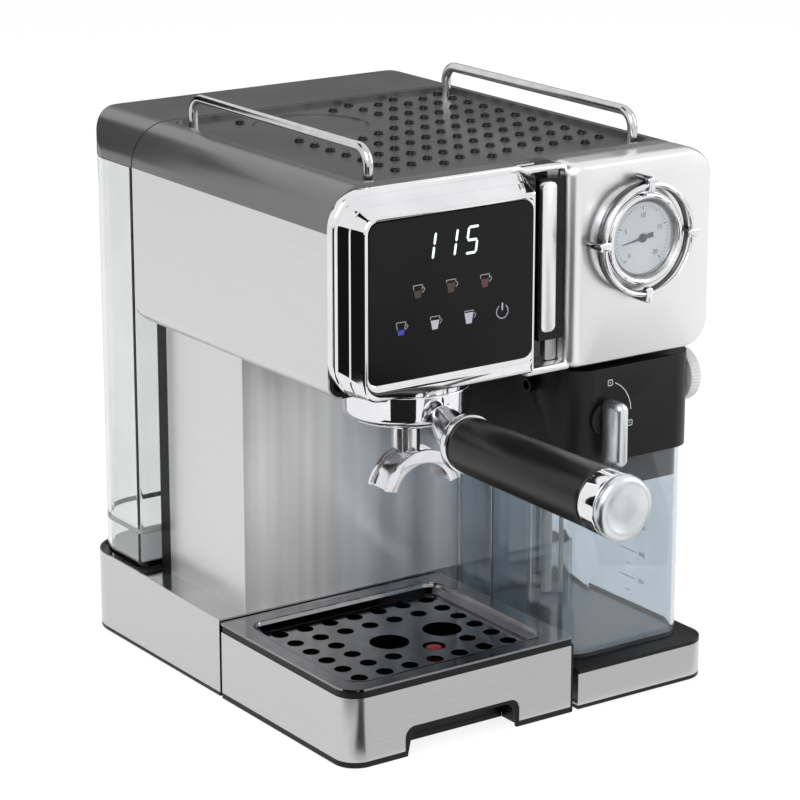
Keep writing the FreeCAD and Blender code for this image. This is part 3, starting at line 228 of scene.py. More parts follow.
glass_black = moulded_plastic("glass_black_back_printed", "#08080a", "#0c0c0e", 0.22, 0.24, 40.0, 0.0,
                              1.5, 0.2)
dial_pale = moulded_plastic("aluminium_dial_printed_pale", "#e0e7ec", "#e6ecf1", 0.45, 0.55, 0.8, 0.1)
needle_grey = moulded_plastic("brass_needle_painted_grey", "#4c5054", "#565a5e", 0.4, 0.5, 0.8, 0.1)
tank_clear = clear_moulding("san_tank_clear_moulded", "#eaecec", "#f0f1f1", 0.02, 1.49)
milk_clear = clear_moulding("san_milk_tank_smoke_blue", "#d9e1e7", "#dee5ea", 0.03, 1.49, 0.96)
tank_frost = moulded_plastic("san_tank_floor_frosted", "#cfd1d2", "#d8dadb", 0.35, 0.45, 0.6, 0.15)
# Grey for the band round the tank wall: painted shade for the floor's refraction.
tank_band_shade = moulded_plastic("san_tank_band_painted_shade", "#8c8e8f", "#989a9b", 0.2, 0.3, 0.8, 0.1)
lens_clear = clear_moulding("glass_lens_flat", "#fcfdfd", "#ffffff", 0.01, 1.5)

sign_white = printed_mark("display_segment_lit_white", "#cfe6e0", "#e2f2ee", 0.75)
sign_pale = printed_mark("display_sign_lit_pale", "#77777b", "#88888c", 0.15)
sign_milk = printed_mark("display_sign_lit_milk", "#9a9aa4", "#acacb6", 0.15)
sign_coffee = printed_mark("display_sign_lit_coffee", "#2e241c", "#3c2f25", 0.05)
sign_rose = printed_mark("display_sign_lit_rose", "#42262a", "#523235", 0.05)
sign_blue = printed_mark("display_sign_lit_blue", "#22288a", "#3038a0", 0.15)
ink_grey = printed_mark("dial_ink_grey", "#5c6468", "#687075", 0.0)
ink_pale = printed_mark("frother_ink_pale", "#bcbcbe", "#cacacc", 0.0)
strip_grey = buffed_metal("aluminium_strip_satin", "#a8a8a9", "#b4b4b5", 0.3, 0.4, 30.0)

finishes = {
    "base_plate": black_satin, "feet": foot_rubber, "base_shell": steel_polished,
    "base_wrap": steel_base, "platform_strip": steel_base, "platform_plate": black_satin,
    "cord_gland": foot_rubber, "tank_dock": black_satin, "column_shell": black_satin,
    "splash_panel": steel_splash, "column_sides": steel_upright, "dock_panel": steel_splash,
    "steam_nozzle": steel_wire, "head_pan": black_satin, "head_sides": steel_upright,
    "top_cover": cover_grey, "cup_rail_left": steel_wire, "cup_rail_right": steel_wire,
    "glass_frame": chrome, "touch_glass": glass_black, "display_board": board_green,
    "channel_trim": black_gloss, "trim_bar": panel_bright, "gauge_panel": panel_bright,
    "gauge_case": black_satin, "gauge_dial": dial_pale, "gauge_ring": chrome, "gauge_lens": lens_clear,
    "guard_wires": chrome, "guard_clamps": chrome, "group_collar": chrome, "brew_head": cast_metal,
    "group_gasket": seal_rubber, "shower_screen": steel_polished, "boiler": cast_metal,
    "pump": black_satin, "hoses": hose_white, "control_board": board_green,
    "gauge_needle": needle_grey, "pf_bowl": chrome, "pf_basket": steel_polished, "pf_spout": chrome,
    "pf_neck": chrome, "pf_grip": grip_black, "pf_ferrule": chrome, "pf_cap": cap_metal,
    "tray_tub": black_satin, "tray_skin": steel_base, "drip_grid": grid_steel,
    "level_float": float_red, "tank_shell": tank_clear, "tank_valve": black_satin,
    "lid_pin": steel_wire, "tank_lid": cover_grey, "milk_tank": milk_clear,
    "frother_housing": black_satin, "milk_intake": hose_white, "milk_spout": black_gloss,
    "froth_lever": chrome, "froth_knob": knob_grey,
}
for node_name, finish in finishes.items():
    mesh = nodes[node_name].data
    mesh.materials.clear()
    mesh.materials.append(finish)


# Piece helpers. Shapes are drawn in the drawing's millimetres and moved into the frame when finished.
def on_plane(plane, u, v, level):
    return (u, level, v) if plane == "xz" else (u, v, level)


# One closed loop: a rectangle with each corner rounded by its own radius.
def rounded_loop(bm, plane, sides, radii, level, steps):
    left, right, low, high = sides
    flat = bmesh.new()
    places = ((left, low), (right, low), (right, high), (left, high))
    corners = [flat.verts.new((u, v, 0)) for u, v in places]
    flat.faces.new(corners)
    for corner, radius in zip(corners, radii):
        bmesh.ops.bevel(flat, geom=[corner], offset=radius, offset_type="OFFSET", segments=steps,
                        profile=0.5, affect="VERTICES", material=-1)
    flat.faces.ensure_lookup_table()
    ring = [bm.verts.new(on_plane(plane, v.co.x, v.co.y, level)) for v in flat.faces[0].verts]
    flat.free()
    return [bm.edges.new((ring[i - 1], ring[i])) for i in range(len(ring))]


# Skins a run of loops into a tube, then closes its ends or joins them into a ring.
def skinned(bm, loops, close="caps"):
    for first, second in zip(loops, loops[1:]):
        bmesh.ops.bridge_loops(bm, edges=first + second)
    if close == "ring":
        bmesh.ops.bridge_loops(bm, edges=loops[-1] + loops[0])
    if close == "caps":
        bmesh.ops.contextual_create(bm, geom=loops[0])
        bmesh.ops.contextual_create(bm, geom=loops[-1])


# Turns a half profile of (radius, height) points about an axis through a point.
def turned(bm, profile, axis, centre, steps, closed=False):
    aim = Vector(axis)
    side = Vector(UPRIGHT) if abs(aim.z) < 0.5 else Vector(TO_RIGHT)
    points = [bm.verts.new(Vector(centre) + side * r + aim * h) for r, h in profile]
    lines = [bm.edges.new(pair) for pair in zip(points, points[1:])]
    if closed:
        lines.append(bm.edges.new((points[-1], points[0])))
    bmesh.ops.spin(bm, geom=points + lines, cent=centre, axis=axis, dvec=(0, 0, 0),
                   angle=2 * math.pi, steps=steps, use_merge=True, use_duplicate=False)


def shown(bm, name, material, body, stands_for, smooth_deg):
    mesh = bpy.data.meshes.new(name)
    bm.to_mesh(mesh)
    bm.free()
    mesh.shade_smooth()
    mesh.set_sharp_from_angle(angle=math.radians(smooth_deg))
    mesh.materials.append(material)
    piece = bpy.data.objects.new(name, mesh)
    bpy.context.scene.collection.objects.link(piece)
    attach(piece, body)
    if stands_for:
        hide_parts(*stands_for)


def finished(bm, name, material, body, stands_for=(), smooth_deg=35):
    bmesh.ops.remove_doubles(bm, verts=bm.verts, dist=0.002)
    bmesh.ops.recalc_face_normals(bm, faces=bm.faces)
    bmesh.ops.translate(bm, vec=(DRAWING_X, DRAWING_Y, 0), verts=bm.verts)
    bmesh.ops.scale(bm, vec=(MM, MM, MM), verts=bm.verts)
    shown(bm, name, material, body, stands_for, smooth_deg)


# A piece that is one turned profile: its axis and a point on it come after the profile.
def turning(name, profile, axis, centre, material, body, stands_for=(), steps=96, closed=False,
            smooth_deg=50):
    bm = bmesh.new()
    turned(bm, profile, axis, centre, steps, closed)
    finished(bm, name, material, body, stands_for, smooth_deg)


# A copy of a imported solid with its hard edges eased, as a real edge is, so that it catches light.
def eased(node, name, material, body, width):
    flat, hard = math.radians(0.4), math.radians(30)
    bm = bmesh.new()
    bm.from_mesh(nodes[node].data)
    bmesh.ops.remove_doubles(bm, verts=bm.verts, dist=0.000005)
    bmesh.ops.dissolve_limit(bm, angle_limit=flat, verts=bm.verts, edges=bm.edges)
    edges = [e for e in bm.edges if e.is_manifold and e.calc_face_angle(0) > hard]
    bmesh.ops.bevel(bm, geom=edges, offset=width * MM, offset_type="OFFSET", segments=2, profile=0.5,
                    affect="EDGES", clamp_overlap=True, material=-1)
    shown(bm, name, material, body, (node,), 40)


# Stepped chrome frame round the glass: each step is an inset share and a depth, from the rear edge forward
frame_steps = ((0, 24.0), (-0.03, 21.0), (-0.01, 19.3), (0.03, 18.7), (0.07, 18.45), (0.20, 18.2),
               (0.215, 17.6), (0.24, 17.2), (0.42, 11.7), (0.49, 11.4), (0.50, 11.0), (0.72, 5.2),
               (0.745, 4.3), (0.79, 3.75), (0.86, 3.55), (0.93, 3.7), (0.97, 4.1), (1, 4.6), (1, 24.0))
FRAME_LEFT, FRAME_RIGHT, FRAME_LOW, FRAME_TOP = 4.4, 121.2, 196.0, 305.5
INSET_LEFT, INSET_RIGHT, INSET_LOW, INSET_TOP = 11.9, 3.0, 10.5, 14.3
SLOPE_END, LIP_START, LOW_SLOPE_SHARE = 0.72, 0.745, 0.1
SLOPE_STEPS = 12
CORNER_OUT, CORNER_IN, CORNER_CHANNEL = 20, 6, 1


# Below the glass nearly all of the inset comes in the last steps, so that the band there faces forward.
def low_inset(share):
    if share < SLOPE_END:
        return LOW_SLOPE_SHARE * share / SLOPE_END
    return LOW_SLOPE_SHARE + (1 - LOW_SLOPE_SHARE) * (share - SLOPE_END) / (1 - SLOPE_END)


def glass_surround():
    bm = bmesh.new()
    loops = []
    for share, y in frame_steps:
        near = max(0, (share - LIP_START) / (1 - LIP_START))
        sides = (FRAME_LEFT + INSET_LEFT * share, FRAME_RIGHT - INSET_RIGHT * near,
                 FRAME_LOW + INSET_LOW * low_inset(share), FRAME_TOP - INSET_TOP * share)
        left = CORNER_OUT - (CORNER_OUT - CORNER_IN) * share
        right = CORNER_CHANNEL + (CORNER_IN - CORNER_CHANNEL) * near
        loops.append(rounded_loop(bm, "xz", sides, (left, right, right, left), y, 12))
    skinned(bm, loops, "ring")
    finished(bm, "glass_surround", chrome, "machine", ("glass_frame",), 25)


glass_surround()

# Lips that close the channel's top and bottom, so that the bright front runs across to the gauge panel:
# the sides of each, its front and rear depth, and how far its front edge is rounded
lips = (((120.8, 146, 302.8, 305.45), 11.0, 24.0, 0.9), ((119.8, 147, 194.2, 198.6), 7.0, 20.0, 1.6))


def channel_lips():
    bm = bmesh.new()
    for (left, right, low, high), front, rear, r in lips:
        loops = []
        for inset, y in ((0, rear), (0, front + r), (0.3 * r, front + 0.3 * r), (0.9 * r, front)):
            loops.append(rounded_loop(bm, "xz", (left, right, low + inset, high - inset), (0.3,) * 4, y, 3))
        skinned(bm, loops)
    finished(bm, "channel_lips", panel_bright, "machine")


# The frame's top slope runs on over the channel's edge, and further the deeper it lies.
def channel_shoulder():
    lap, drop, run_out, sheet = 0.2, 0.1, 0.69, 0.8
    glass_y = 4.6
    bm = bmesh.new()
    slope = [(y, FRAME_TOP - drop - INSET_TOP * share) for share, y in frame_steps[:SLOPE_STEPS]]
    inner = [bm.verts.new((FRAME_RIGHT - lap, y, z)) for y, z in slope]
    outer = [bm.verts.new((FRAME_RIGHT + run_out * (y - glass_y), y, z)) for y, z in slope]
    inner_run = [bm.edges.new(pair) for pair in zip(inner, inner[1:])]
    outer_run = [bm.edges.new(pair) for pair in zip(outer, outer[1:])]
    bmesh.ops.bridge_loops(bm, edges=inner_run + outer_run)
    bmesh.ops.recalc_face_normals(bm, faces=bm.faces)
    bmesh.ops.solidify(bm, geom=bm.faces[:], thickness=sheet)
    finished(bm, "channel_shoulder", panel_bright, "machine", (), 60)


channel_lips()
channel_shoulder()

# Lit signs on the glass
GLASS_FACE = 3.6
SIGN_T = 0.06


# A flat outline given a thickness
def slab(bm, plane, corners, level, thick):
    face = bm.faces.new([bm.verts.new(on_plane(plane, u, v, level)) for u, v in corners])
    grown = bmesh.ops.extrude_face_region(bm, geom=[face])
    moved = [g for g in grown["geom"] if isinstance(g, bmesh.types.BMVert)]
    bmesh.ops.translate(bm, vec=on_plane(plane, 0, 0, thick), verts=moved)


# A flat outline on the glass
def sign_plate(bm, corners):
    slab(bm, "xz", corners, GLASS_FACE - SIGN_T, SIGN_T / 2)


def sign_bar(bm, start, end, thick):
    run = Vector((end[0] - start[0], end[1] - start[1]))
    tip = run.normalized() * thick / 2
    side = Vector((-tip.y, tip.x))
    first, last = Vector(start), Vector(end)
    near, far = first + tip, last - tip
    sign_plate(bm, (first, near + side, far + side, last, far - side, near - side))


# Seven-segment figures, leaning right as on a real display
FIGURE_W, FIGURE_Z0, FIGURE_Z1, FIGURE_LEAN, STROKE = 6.3, 268.2, 281.8, 0.15, 1.35
figure_bars = {"top": (0, 1, 1, 1), "upper_left": (0, 0.53, 0, 1), "upper_right": (1, 0.53, 1, 1),
               "middle": (0, 0.5, 1, 0.5), "lower_right": (1, 0, 1, 0.47), "bottom": (0, 0, 1, 0)}
figures_lit = {"1": ("upper_right", "lower_right"),
               "5": ("top", "upper_left", "middle", "lower_right", "bottom")}


def temperature_figures():
    bm = bmesh.new()
    tall = FIGURE_Z1 - FIGURE_Z0
    for figure, x in (("1", 49.0), ("1", 62.7), ("5", 76.1)):
        for bar in figures_lit[figure]:
            u0, v0, u1, v1 = figure_bars[bar]
            start = (x + u0 * FIGURE_W + FIGURE_LEAN * v0 * tall, FIGURE_Z0 + v0 * tall)
            end = (x + u1 * FIGURE_W + FIGURE_LEAN * v1 * tall, FIGURE_Z0 + v1 * tall)
            sign_bar(bm, start, end, STROKE)
    finished(bm, "temperature_figures", sign_white, "machine")


temperature_figures()


# Cup sign: a tapered cup whose lower part holds the drink, with a small handle
def cup_sign(name, x, z, drink, share):
    top_w, low_w, tall, line_t, gap = 3.0, 1.7, 6.8, 0.5, 0.3
    z0 = z - tall / 2
    z1 = z + tall / 2
    line = z0 + share * tall
    line_w = low_w + (top_w - low_w) * share
    full = bmesh.new()
    sign_plate(full, ((x - low_w, z0), (x + low_w, z0), (x + line_w, line - gap), (x - line_w, line - gap)))
    finished(full, name + "_drink", drink, "machine")
    left, right = (x - top_w, z1), (x + top_w, z1)
    bend = (x + top_w + 1.4, z1 - 2.6)
    rim = bmesh.new()
    for start, end in ((left, right), (left, (x - line_w, line)), (right, (x + line_w, line)),
                       ((x + top_w + 0.2, z1 - 1.2), bend), (bend, (x + line_w + 0.2, z1 - 4.2))):
        sign_bar(rim, start, end, line_t)
    finished(rim, name + "_cup", sign_pale, "machine")


for cup_name, cup_x, cup_z, cup_drink, cup_share in (
        ("sign_single", 46.2, 252.3, sign_coffee, 0.62), ("sign_double", 66.9, 252.3, sign_coffee, 0.8),
        ("sign_layered", 88.5, 252.0, sign_rose, 0.7), ("sign_rinse", 35.7, 234.3, sign_blue, 0.45),
        ("sign_foam", 56.9, 234.3, sign_milk, 0.75), ("sign_milk", 78.4, 234.1, sign_milk, 0.9)):
    cup_sign(cup_name, cup_x, cup_z, cup_drink, cup_share)


def power_sign():
    bm = bmesh.new()
    x, z, r = 99.8, 234.0, 3.7
    steps = 22
    open_deg = 34
    points = []
    for i in range(steps + 1):
        a = math.radians(90 + open_deg + (360 - 2 * open_deg) * i / steps)
        points.append((x + r * math.cos(a), z + r * math.sin(a)))
    for start, end in zip(points, points[1:]):
        sign_bar(bm, start, end, 0.8)
    sign_bar(bm, (x, z + 0.4), (x, z + r + 1.2), 0.9)
    finished(bm, "sign_power", sign_milk, "machine")


power_sign()

# Channel between glass and gauge panel: a satin strip at the back and a bright bar on a black core
BAR_X, BAR_HALF, BAR_LOW, BAR_TOP = 131.1, 4.9, 217.5, 298.5
bar_steps = ((0.5, 8.6), (0, 8.2), (0, 5.8), (0.3, 5.0), (0.9, 4.6))
STRIP_SIDES = (136.4, 143.6, 199, 303.4)
core_blocks = (((BAR_X - 3.4, 143.9, 212, 299.5), 9.0), ((121.3, 122.0, 199, 302), 5.4))
CORE_BACK = 16.4


def channel_strip():
    bm = bmesh.new()
    skinned(bm, [rounded_loop(bm, "xz", STRIP_SIDES, (1.5,) * 4, y, 3) for y in (16.6, 14.4)])
    finished(bm, "channel_strip", strip_grey, "machine")


def channel_bar():
    bm = bmesh.new()
    loops = []
    for inset, y in bar_steps:
        sides = (BAR_X - BAR_HALF + inset, BAR_X + BAR_HALF - inset, BAR_LOW + inset, BAR_TOP - inset)
        loops.append(rounded_loop(bm, "xz", sides, (3.4 - inset * 0.8,) * 4, y, 6))
    skinned(bm, loops)
    finished(bm, "channel_bar", panel_bright, "machine", ("trim_bar",))
    core = bmesh.new()
    for sides, front in core_blocks:
        skinned(core, [rounded_loop(core, "xz", sides, (0.3,) * 4, y, 3) for y in (CORE_BACK, front)])
    finished(core, "bar_core", black_satin, "machine")


channel_strip()
channel_bar()

# Gauge panel: a pale satin front with a soft edge all round and a wide roll into the channel
GAUGE_X, GAUGE_Z = 189.0, 262.0


def circle_loop(bm, plane, centre, r, level, steps):
    u, v = centre
    ring = []
    for i in range(steps):
        a = 2 * math.pi * i / steps
        ring.append(bm.verts.new(on_plane(plane, u + r * math.cos(a), v + r * math.sin(a), level)))
    return [bm.edges.new((ring[i - 1], ring[i])) for i in range(steps)]


def gauge_front():
    left, right, low, high = 144.2, 240.8, 194, 305.5
    face_y, back_y = GLASS_FACE, 24.0
    roll, edge, corner_r, channel_r, hole_r, quarter = 8.0, 3.0, 16, 6, 22.0, 8
    bm = bmesh.new()
    loops = []
    for i in range(-1, quarter + 1):
        a = math.radians(90 * max(i, 0) / quarter)
        rolled = roll * (1 - math.cos(a))
        rest = edge * (1 - math.cos(a))
        y = face_y + max(roll * (1 - math.sin(a)), 0) if i >= 0 else back_y
        sides = (left + rolled, right - rest, low + rest, high - rest)
        wide = corner_r - rest
        small = channel_r - rest * 0.8
        loops.append(rounded_loop(bm, "xz", sides, (small, wide, wide, small), y, 8))
    for r, y in ((hole_r + 4, face_y), (hole_r, face_y), (hole_r, back_y)):
        loops.append(circle_loop(bm, "xz", (GAUGE_X, GAUGE_Z), r, y, 36))
    skinned(bm, loops, "ring")
    finished(bm, "gauge_front", panel_bright, "machine", ("gauge_panel",), 25)


gauge_front()

# Gauge: rolled chrome rim with a satin inner slope down to the dial
GAUGE_CENTRE = (GAUGE_X, 0, GAUGE_Z)
rim_profile = ((25.0, 3.5), (25.35, -1.6), (25.3, -3.2), (24.8, -4.3), (23.9, -5.0), (22.9, -5.0),
               (22.2, -4.5), (21.8, -3.7), (23.4, 3.5))
slope_profile = ((21.9, -3.9), (21.0, -2.6), (20.0, -1.2), (19.5, -0.5), (20.6, -0.4), (22.6, -3.4))
turning("gauge_rim", rim_profile, TO_REAR, GAUGE_CENTRE, chrome, "machine", ("gauge_ring",),
        closed=True)
turning("gauge_slope", slope_profile, TO_REAR, GAUGE_CENTRE, cast_metal, "machine", closed=True)

# Dial: ticks and plain numbers round three quarters of a turn
DIAL_FACE = -0.36
DIAL_START, DIAL_SWEEP, DIAL_TICKS = 225, 270, 40
TICK_END, NUMBER_R, NUMBER_TALL = 17.8, 12.4, 3.6


def dial_point(share, r):
    a = math.radians(DIAL_START - DIAL_SWEEP * share)
    return (GAUGE_X + r * math.cos(a), GAUGE_Z + r * math.sin(a))


def dial_ticks():
    bm = bmesh.new()
    for i in range(DIAL_TICKS + 1):
        share = i / DIAL_TICKS
        whole = i % 10 == 0
        half = i % 5 == 0
        start_r = 15.4 if whole else 16.2 if half else 16.8
        sign_bar(bm, dial_point(share, start_r), dial_point(share, TICK_END), 0.5 if whole else 0.3)
    bmesh.ops.translate(bm, vec=(0, DIAL_FACE - GLASS_FACE, 0), verts=bm.verts)
    finished(bm, "dial_ticks", ink_grey, "machine")


dial_ticks()


# Printed figures: type turned to a mesh, then laid upright on its surface
def printed_number(name, number, place, across, body):
    curve = bpy.data.curves.new(name, "FONT")
    curve.body = str(number)
    curve.size = NUMBER_TALL
    curve.align_x = "CENTER"
    curve.align_y = "CENTER"
    curve.extrude = SIGN_T / 2
    carrier = bpy.data.objects.new(name + "_type", curve)
    bpy.context.scene.collection.objects.link(carrier)
    mesh = bpy.data.meshes.new_from_object(carrier.evaluated_get(bpy.context.evaluated_depsgraph_get()))
    bpy.data.objects.remove(carrier)
    bm = bmesh.new()
    bm.from_mesh(mesh)
    side, up = Vector(across), Vector(UPRIGHT)
    turn = Matrix((side, up, side.cross(up))).transposed().to_4x4()
    bmesh.ops.transform(bm, matrix=Matrix.Translation(place) @ turn, verts=bm.verts)
    finished(bm, name, ink_grey, body)


for bar in range(0, 21, 5):
    number_x, number_z = dial_point(bar / 20, NUMBER_R)
    number_place = (number_x, DIAL_FACE - SIGN_T, number_z)
    printed_number("dial_number_" + str(bar), bar, number_place, TO_RIGHT, "machine")


# Guard: a bright ring in front of a darker one, on four posts whose clamps have bright faces; the posts and
# clamp sides wear the darkened wire, painted shade and dark reflection
GUARD_R, WIRE_R, POST_R = 29.7, 1.3, 32.7
CLAMP_HALF, CLAMP_IN, CLAMP_OUT, CLAMP_CORNER = 2.3, 26.1, 34.0, 1.6
post_profile = ((0, 3.5), (1.8, 3.5), (1.8, -7.2), (1.5, -7.6), (0, -7.6))
clamp_face_steps = ((0, -7.4), (0, -7.9), (0.4, -8.3), (1.0, -8.5))


def guard_ring(name, y, material, stands_for):
    turns = [math.radians(a) for a in range(0, 360, 30)]
    wire = [(GUARD_R + WIRE_R * math.cos(a), y + WIRE_R * math.sin(a)) for a in turns]
    turning(name, wire, TO_REAR, GAUGE_CENTRE, material, "machine", stands_for, closed=True,
            smooth_deg=60)


# Copies one clamp's shape to the four places round the gauge
def four_round(shape, name, material, stands_for):
    held = bpy.data.meshes.new(name + "_one")
    shape.to_mesh(held)
    shape.free()
    bm = bmesh.new()
    for quarter in range(4):
        one = bmesh.new()
        one.from_mesh(held)
        spin = Matrix.Translation(GAUGE_CENTRE) @ Matrix.Rotation(math.radians(90 * quarter), 4, "Y")
        bmesh.ops.transform(one, matrix=spin, verts=one.verts)
        placed = bpy.data.meshes.new(name + "_placed")
        one.to_mesh(placed)
        one.free()
        bm.from_mesh(placed)
        bpy.data.meshes.remove(placed)
    bpy.data.meshes.remove(held)
    finished(bm, name, material, "machine", stands_for, 40)


def clamp_loop(bm, inset, y):
    sides = (-CLAMP_HALF + inset, CLAMP_HALF - inset, CLAMP_IN + inset, CLAMP_OUT - inset)
    return rounded_loop(bm, "xz", sides, (CLAMP_CORNER - inset * 0.6,) * 4, y, 4)


def guard_holds():
    posts = bmesh.new()
    turned(posts, post_profile, TO_REAR, (0, 0, POST_R), 20)
    skinned(posts, [clamp_loop(posts, 0, y) for y in (-4.8, -7.5)])
    four_round(posts, "guard_posts", wire_darkened, ("guard_clamps",))
    faces = bmesh.new()
    skinned(faces, [clamp_loop(faces, inset, y) for inset, y in clamp_face_steps])
    four_round(faces, "guard_faces", chrome, ())


guard_ring("guard_ring_front", -6.57, chrome, ("guard_wires",))
guard_ring("guard_ring_back", -1.38, wire_darkened, ())
guard_holds()

# Cup floor: glossy black domes over the nubs, in staggered rows that leave the round cup seat free
dome_profile = ((2.75, 0.0), (2.6, 0.9), (2.1, 1.75), (1.2, 2.25), (0, 2.45))
DOME_X, DOME_Y, DOME_Z, DOME_Y_END = 65.5, 52.0, 304.1, 213.8
DOME_PITCH_X, DOME_PITCH_Y = 15.65, 15.3
CUP_SEAT = Vector((95.9, 179.1))
SEAT_CLEAR = 39.6


def cup_domes():
    bm = bmesh.new()
    turned(bm, dome_profile, UPRIGHT, (0, 0, 0), 12)
    bmesh.ops.remove_doubles(bm, verts=bm.verts, dist=0.002)
    one = bm.verts[:] + bm.edges[:] + bm.faces[:]
    for column in range(10):
        for row in range(12):
            along = row + 0.5 * (column % 2)
            spot = Vector((DOME_X + DOME_PITCH_X * column, DOME_Y + DOME_PITCH_Y * along))
            if spot.y < DOME_Y_END and (spot - CUP_SEAT).length > SEAT_CLEAR:
                copy = bmesh.ops.duplicate(bm, geom=one)
                moved = [g for g in copy["geom"] if isinstance(g, bmesh.types.BMVert)]
                bmesh.ops.translate(bm, vec=(spot.x, spot.y, DOME_Z), verts=moved)
    bmesh.ops.delete(bm, geom=one, context="VERTS")
    finished(bm, "cup_domes", nub_rubber, "machine", (), 60)


cup_domes()

# Portafilter handle: dished end cap, long matte grip with a soft front edge, and a bright ring
HANDLE_X, HANDLE_Z = 73.75, 168.0
HANDLE_CENTRE = (HANDLE_X, 0, HANDLE_Z)
cap_profile = ((0, -133.2), (6, -133.1), (9.5, -133.4), (11.5, -134.2), (13.2, -134.7), (15, -134.3),
               (16.3, -133.0), (16.8, -131.2), (16.8, -129.2), (16.3, -128.75), (0, -128.75))
grip_profile = ((0, -4.4), (13.4, -4.5), (14.5, -4.9), (14.95, -5.8), (15.0, -6.8), (15.2, -20), (15.45, -50),
                (15.75, -80), (16.1, -112.5), (16.1, -114.2), (15.8, -115.2), (15.0, -115.6), (0, -115.6))
ferrule_profile = ((0, -115.8), (15.6, -115.8), (16.2, -116.0), (16.45, -116.6), (16.5, -117.6),
                   (16.5, -126.8), (16.45, -127.9), (16.2, -128.5), (15.6, -128.7), (0, -128.7))
for turning_name, turned_profile, turning_metal, turning_slot, turning_node in (
        ("handle_cap", cap_profile, cap_metal, "cap_satin", "pf_cap"),
        ("handle_grip", grip_profile, grip_black, "grip_black", "pf_grip"),
        ("handle_ferrule", ferrule_profile, chrome, "chrome", "pf_ferrule")):
    turning(turning_name, turned_profile, TO_REAR, HANDLE_CENTRE, turning_metal, "portafilter",
            (turning_node,), 72)

# Neck: round sections, each with its place along the handle, its height and its radius
neck_sections = ((27, 178.0, 5.8), (22, 176.8, 7.2), (18, 174.8, 8.6), (14, 172.2, 9.8), (9.5, 169.8, 10.6),
                 (5, 168.4, 11.2), (3.2, 168, 11.7), (2.6, 168, 12.8), (1.8, 168, 14.4), (0.8, 168, 15.5),
                 (-0.4, 168, 15.95), (-3.6, 168, 15.95), (-4.2, 168, 15.7), (-4.4, 168, 15.0))


def handle_neck():
    bm = bmesh.new()
    skinned(bm, [circle_loop(bm, "xz", (HANDLE_X, z), r, y, 48) for y, z, r in neck_sections])
    finished(bm, "handle_neck", chrome_soft, "portafilter", ("pf_neck",), 50)


handle_neck()
eased("pf_spout", "bowl_spout", chrome_soft, "portafilter", 0.7)

# Bowl and lock collar, turned about the group's axis
GROUP_CENTRE = (HANDLE_X, 54.0, 0)
bowl_profile = ((0, 171.0), (26.5, 171.0), (29.5, 171.4), (32.4, 172.6), (34.2, 174.2), (34.9, 175.8),
                (35.0, 177.2), (35.0, 188.2), (34.9, 189.0), (34.6, 189.3), (34.4, 189.0), (34.35, 183.1),
                (29.0, 183.1), (28.8, 183.4), (28.8, 186.0), (27.5, 186.0), (27.5, 175.0), (0, 175.0))
collar_profile = ((30.2, 183.6), (33.0, 183.6), (33.7, 183.8), (34.0, 184.4), (34.1, 185.4), (34.1, 195.8),
                  (30.2, 195.8))
turning("filter_bowl", bowl_profile, UPRIGHT, GROUP_CENTRE, chrome, "portafilter", smooth_deg=40)
turning("collar_skirt", collar_profile, UPRIGHT, GROUP_CENTRE, chrome, "machine", closed=True,
        smooth_deg=40)
eased("frother_housing", "frother_body", black_satin, "milk_unit", 0.8)
eased("platform_plate", "milk_shelf", black_satin, "machine", 0.5)

# Froth lever: a satin capsule standing proud of the frother, on a black boss
LEVER_X, LEVER_Z = 172.5, 162.0
LEVER_HALF, LEVER_LOW, LEVER_TOP = 4.3, 138.2, 174.3
capsule_steps = ((2.6, 6.5), (0.8, 5.6), (0, 3.4), (0, -5.6), (0.5, -7.4), (1.5, -8.8), (2.9, -9.5))
boss_profile = ((0, 8.5), (8.4, 8.5), (9.0, 8.0), (9.0, 7.0), (8.2, 6.5), (0, 6.4))
stem_profile = ((0, 18.0), (4.0, 18.0), (4.0, 8.4), (0, 8.4))


def lever_capsule():
    bm = bmesh.new()
    loops = []
    for inset, y in capsule_steps:
        half = LEVER_HALF - inset
        sides = (LEVER_X - half, LEVER_X + half, LEVER_LOW + inset, LEVER_TOP - inset)
        loops.append(rounded_loop(bm, "xz", sides, (half - 0.05,) * 4, y, 6))
    skinned(bm, loops)
    finished(bm, "lever_capsule", cap_metal, "lever", ("froth_lever",), 40)
    boss = bmesh.new()
    turned(boss, boss_profile, TO_REAR, (LEVER_X, 0, LEVER_Z), 48)
    turned(boss, stem_profile, TO_REAR, (LEVER_X, 0, LEVER_Z), 24)
    finished(boss, "lever_boss", black_satin, "lever", (), 40)


lever_capsule()

# Marks printed on the frother: an arc for the lever's travel, and at each end a small square with a dot
FROTHER_FACE = 9.0
ARC_R, ARC_RISE = 19.0, 1.5
MARK_HALF = 1.5


def square_mark(bm, x, z):
    low, high, left, right = z - MARK_HALF, z + MARK_HALF, x - MARK_HALF, x + MARK_HALF
    corners = ((left, low), (right, low), (right, high), (left, high))
    for i in range(4):
        sign_bar(bm, corners[i], corners[(i + 1) % 4], 0.45)
    sign_bar(bm, (x - 0.5, z), (x + 0.5, z), 0.8)


def lever_marks():
    bm = bmesh.new()
    turns = [math.radians(a) for a in range(66, -2, -4)]
    arc = [(LEVER_X + ARC_R * math.cos(a), LEVER_Z + ARC_RISE + ARC_R * math.sin(a)) for a in turns]
    for start, end in zip(arc, arc[1:]):
        sign_bar(bm, start, end, 0.55)
    square_mark(bm, LEVER_X + 4.5, LEVER_Z + 19.4)
    square_mark(bm, LEVER_X + 18.6, LEVER_Z - 5.4)
    bmesh.ops.translate(bm, vec=(0, FROTHER_FACE - GLASS_FACE, 0), verts=bm.verts)
    finished(bm, "lever_marks", ink_pale, "milk_unit")


lever_marks()

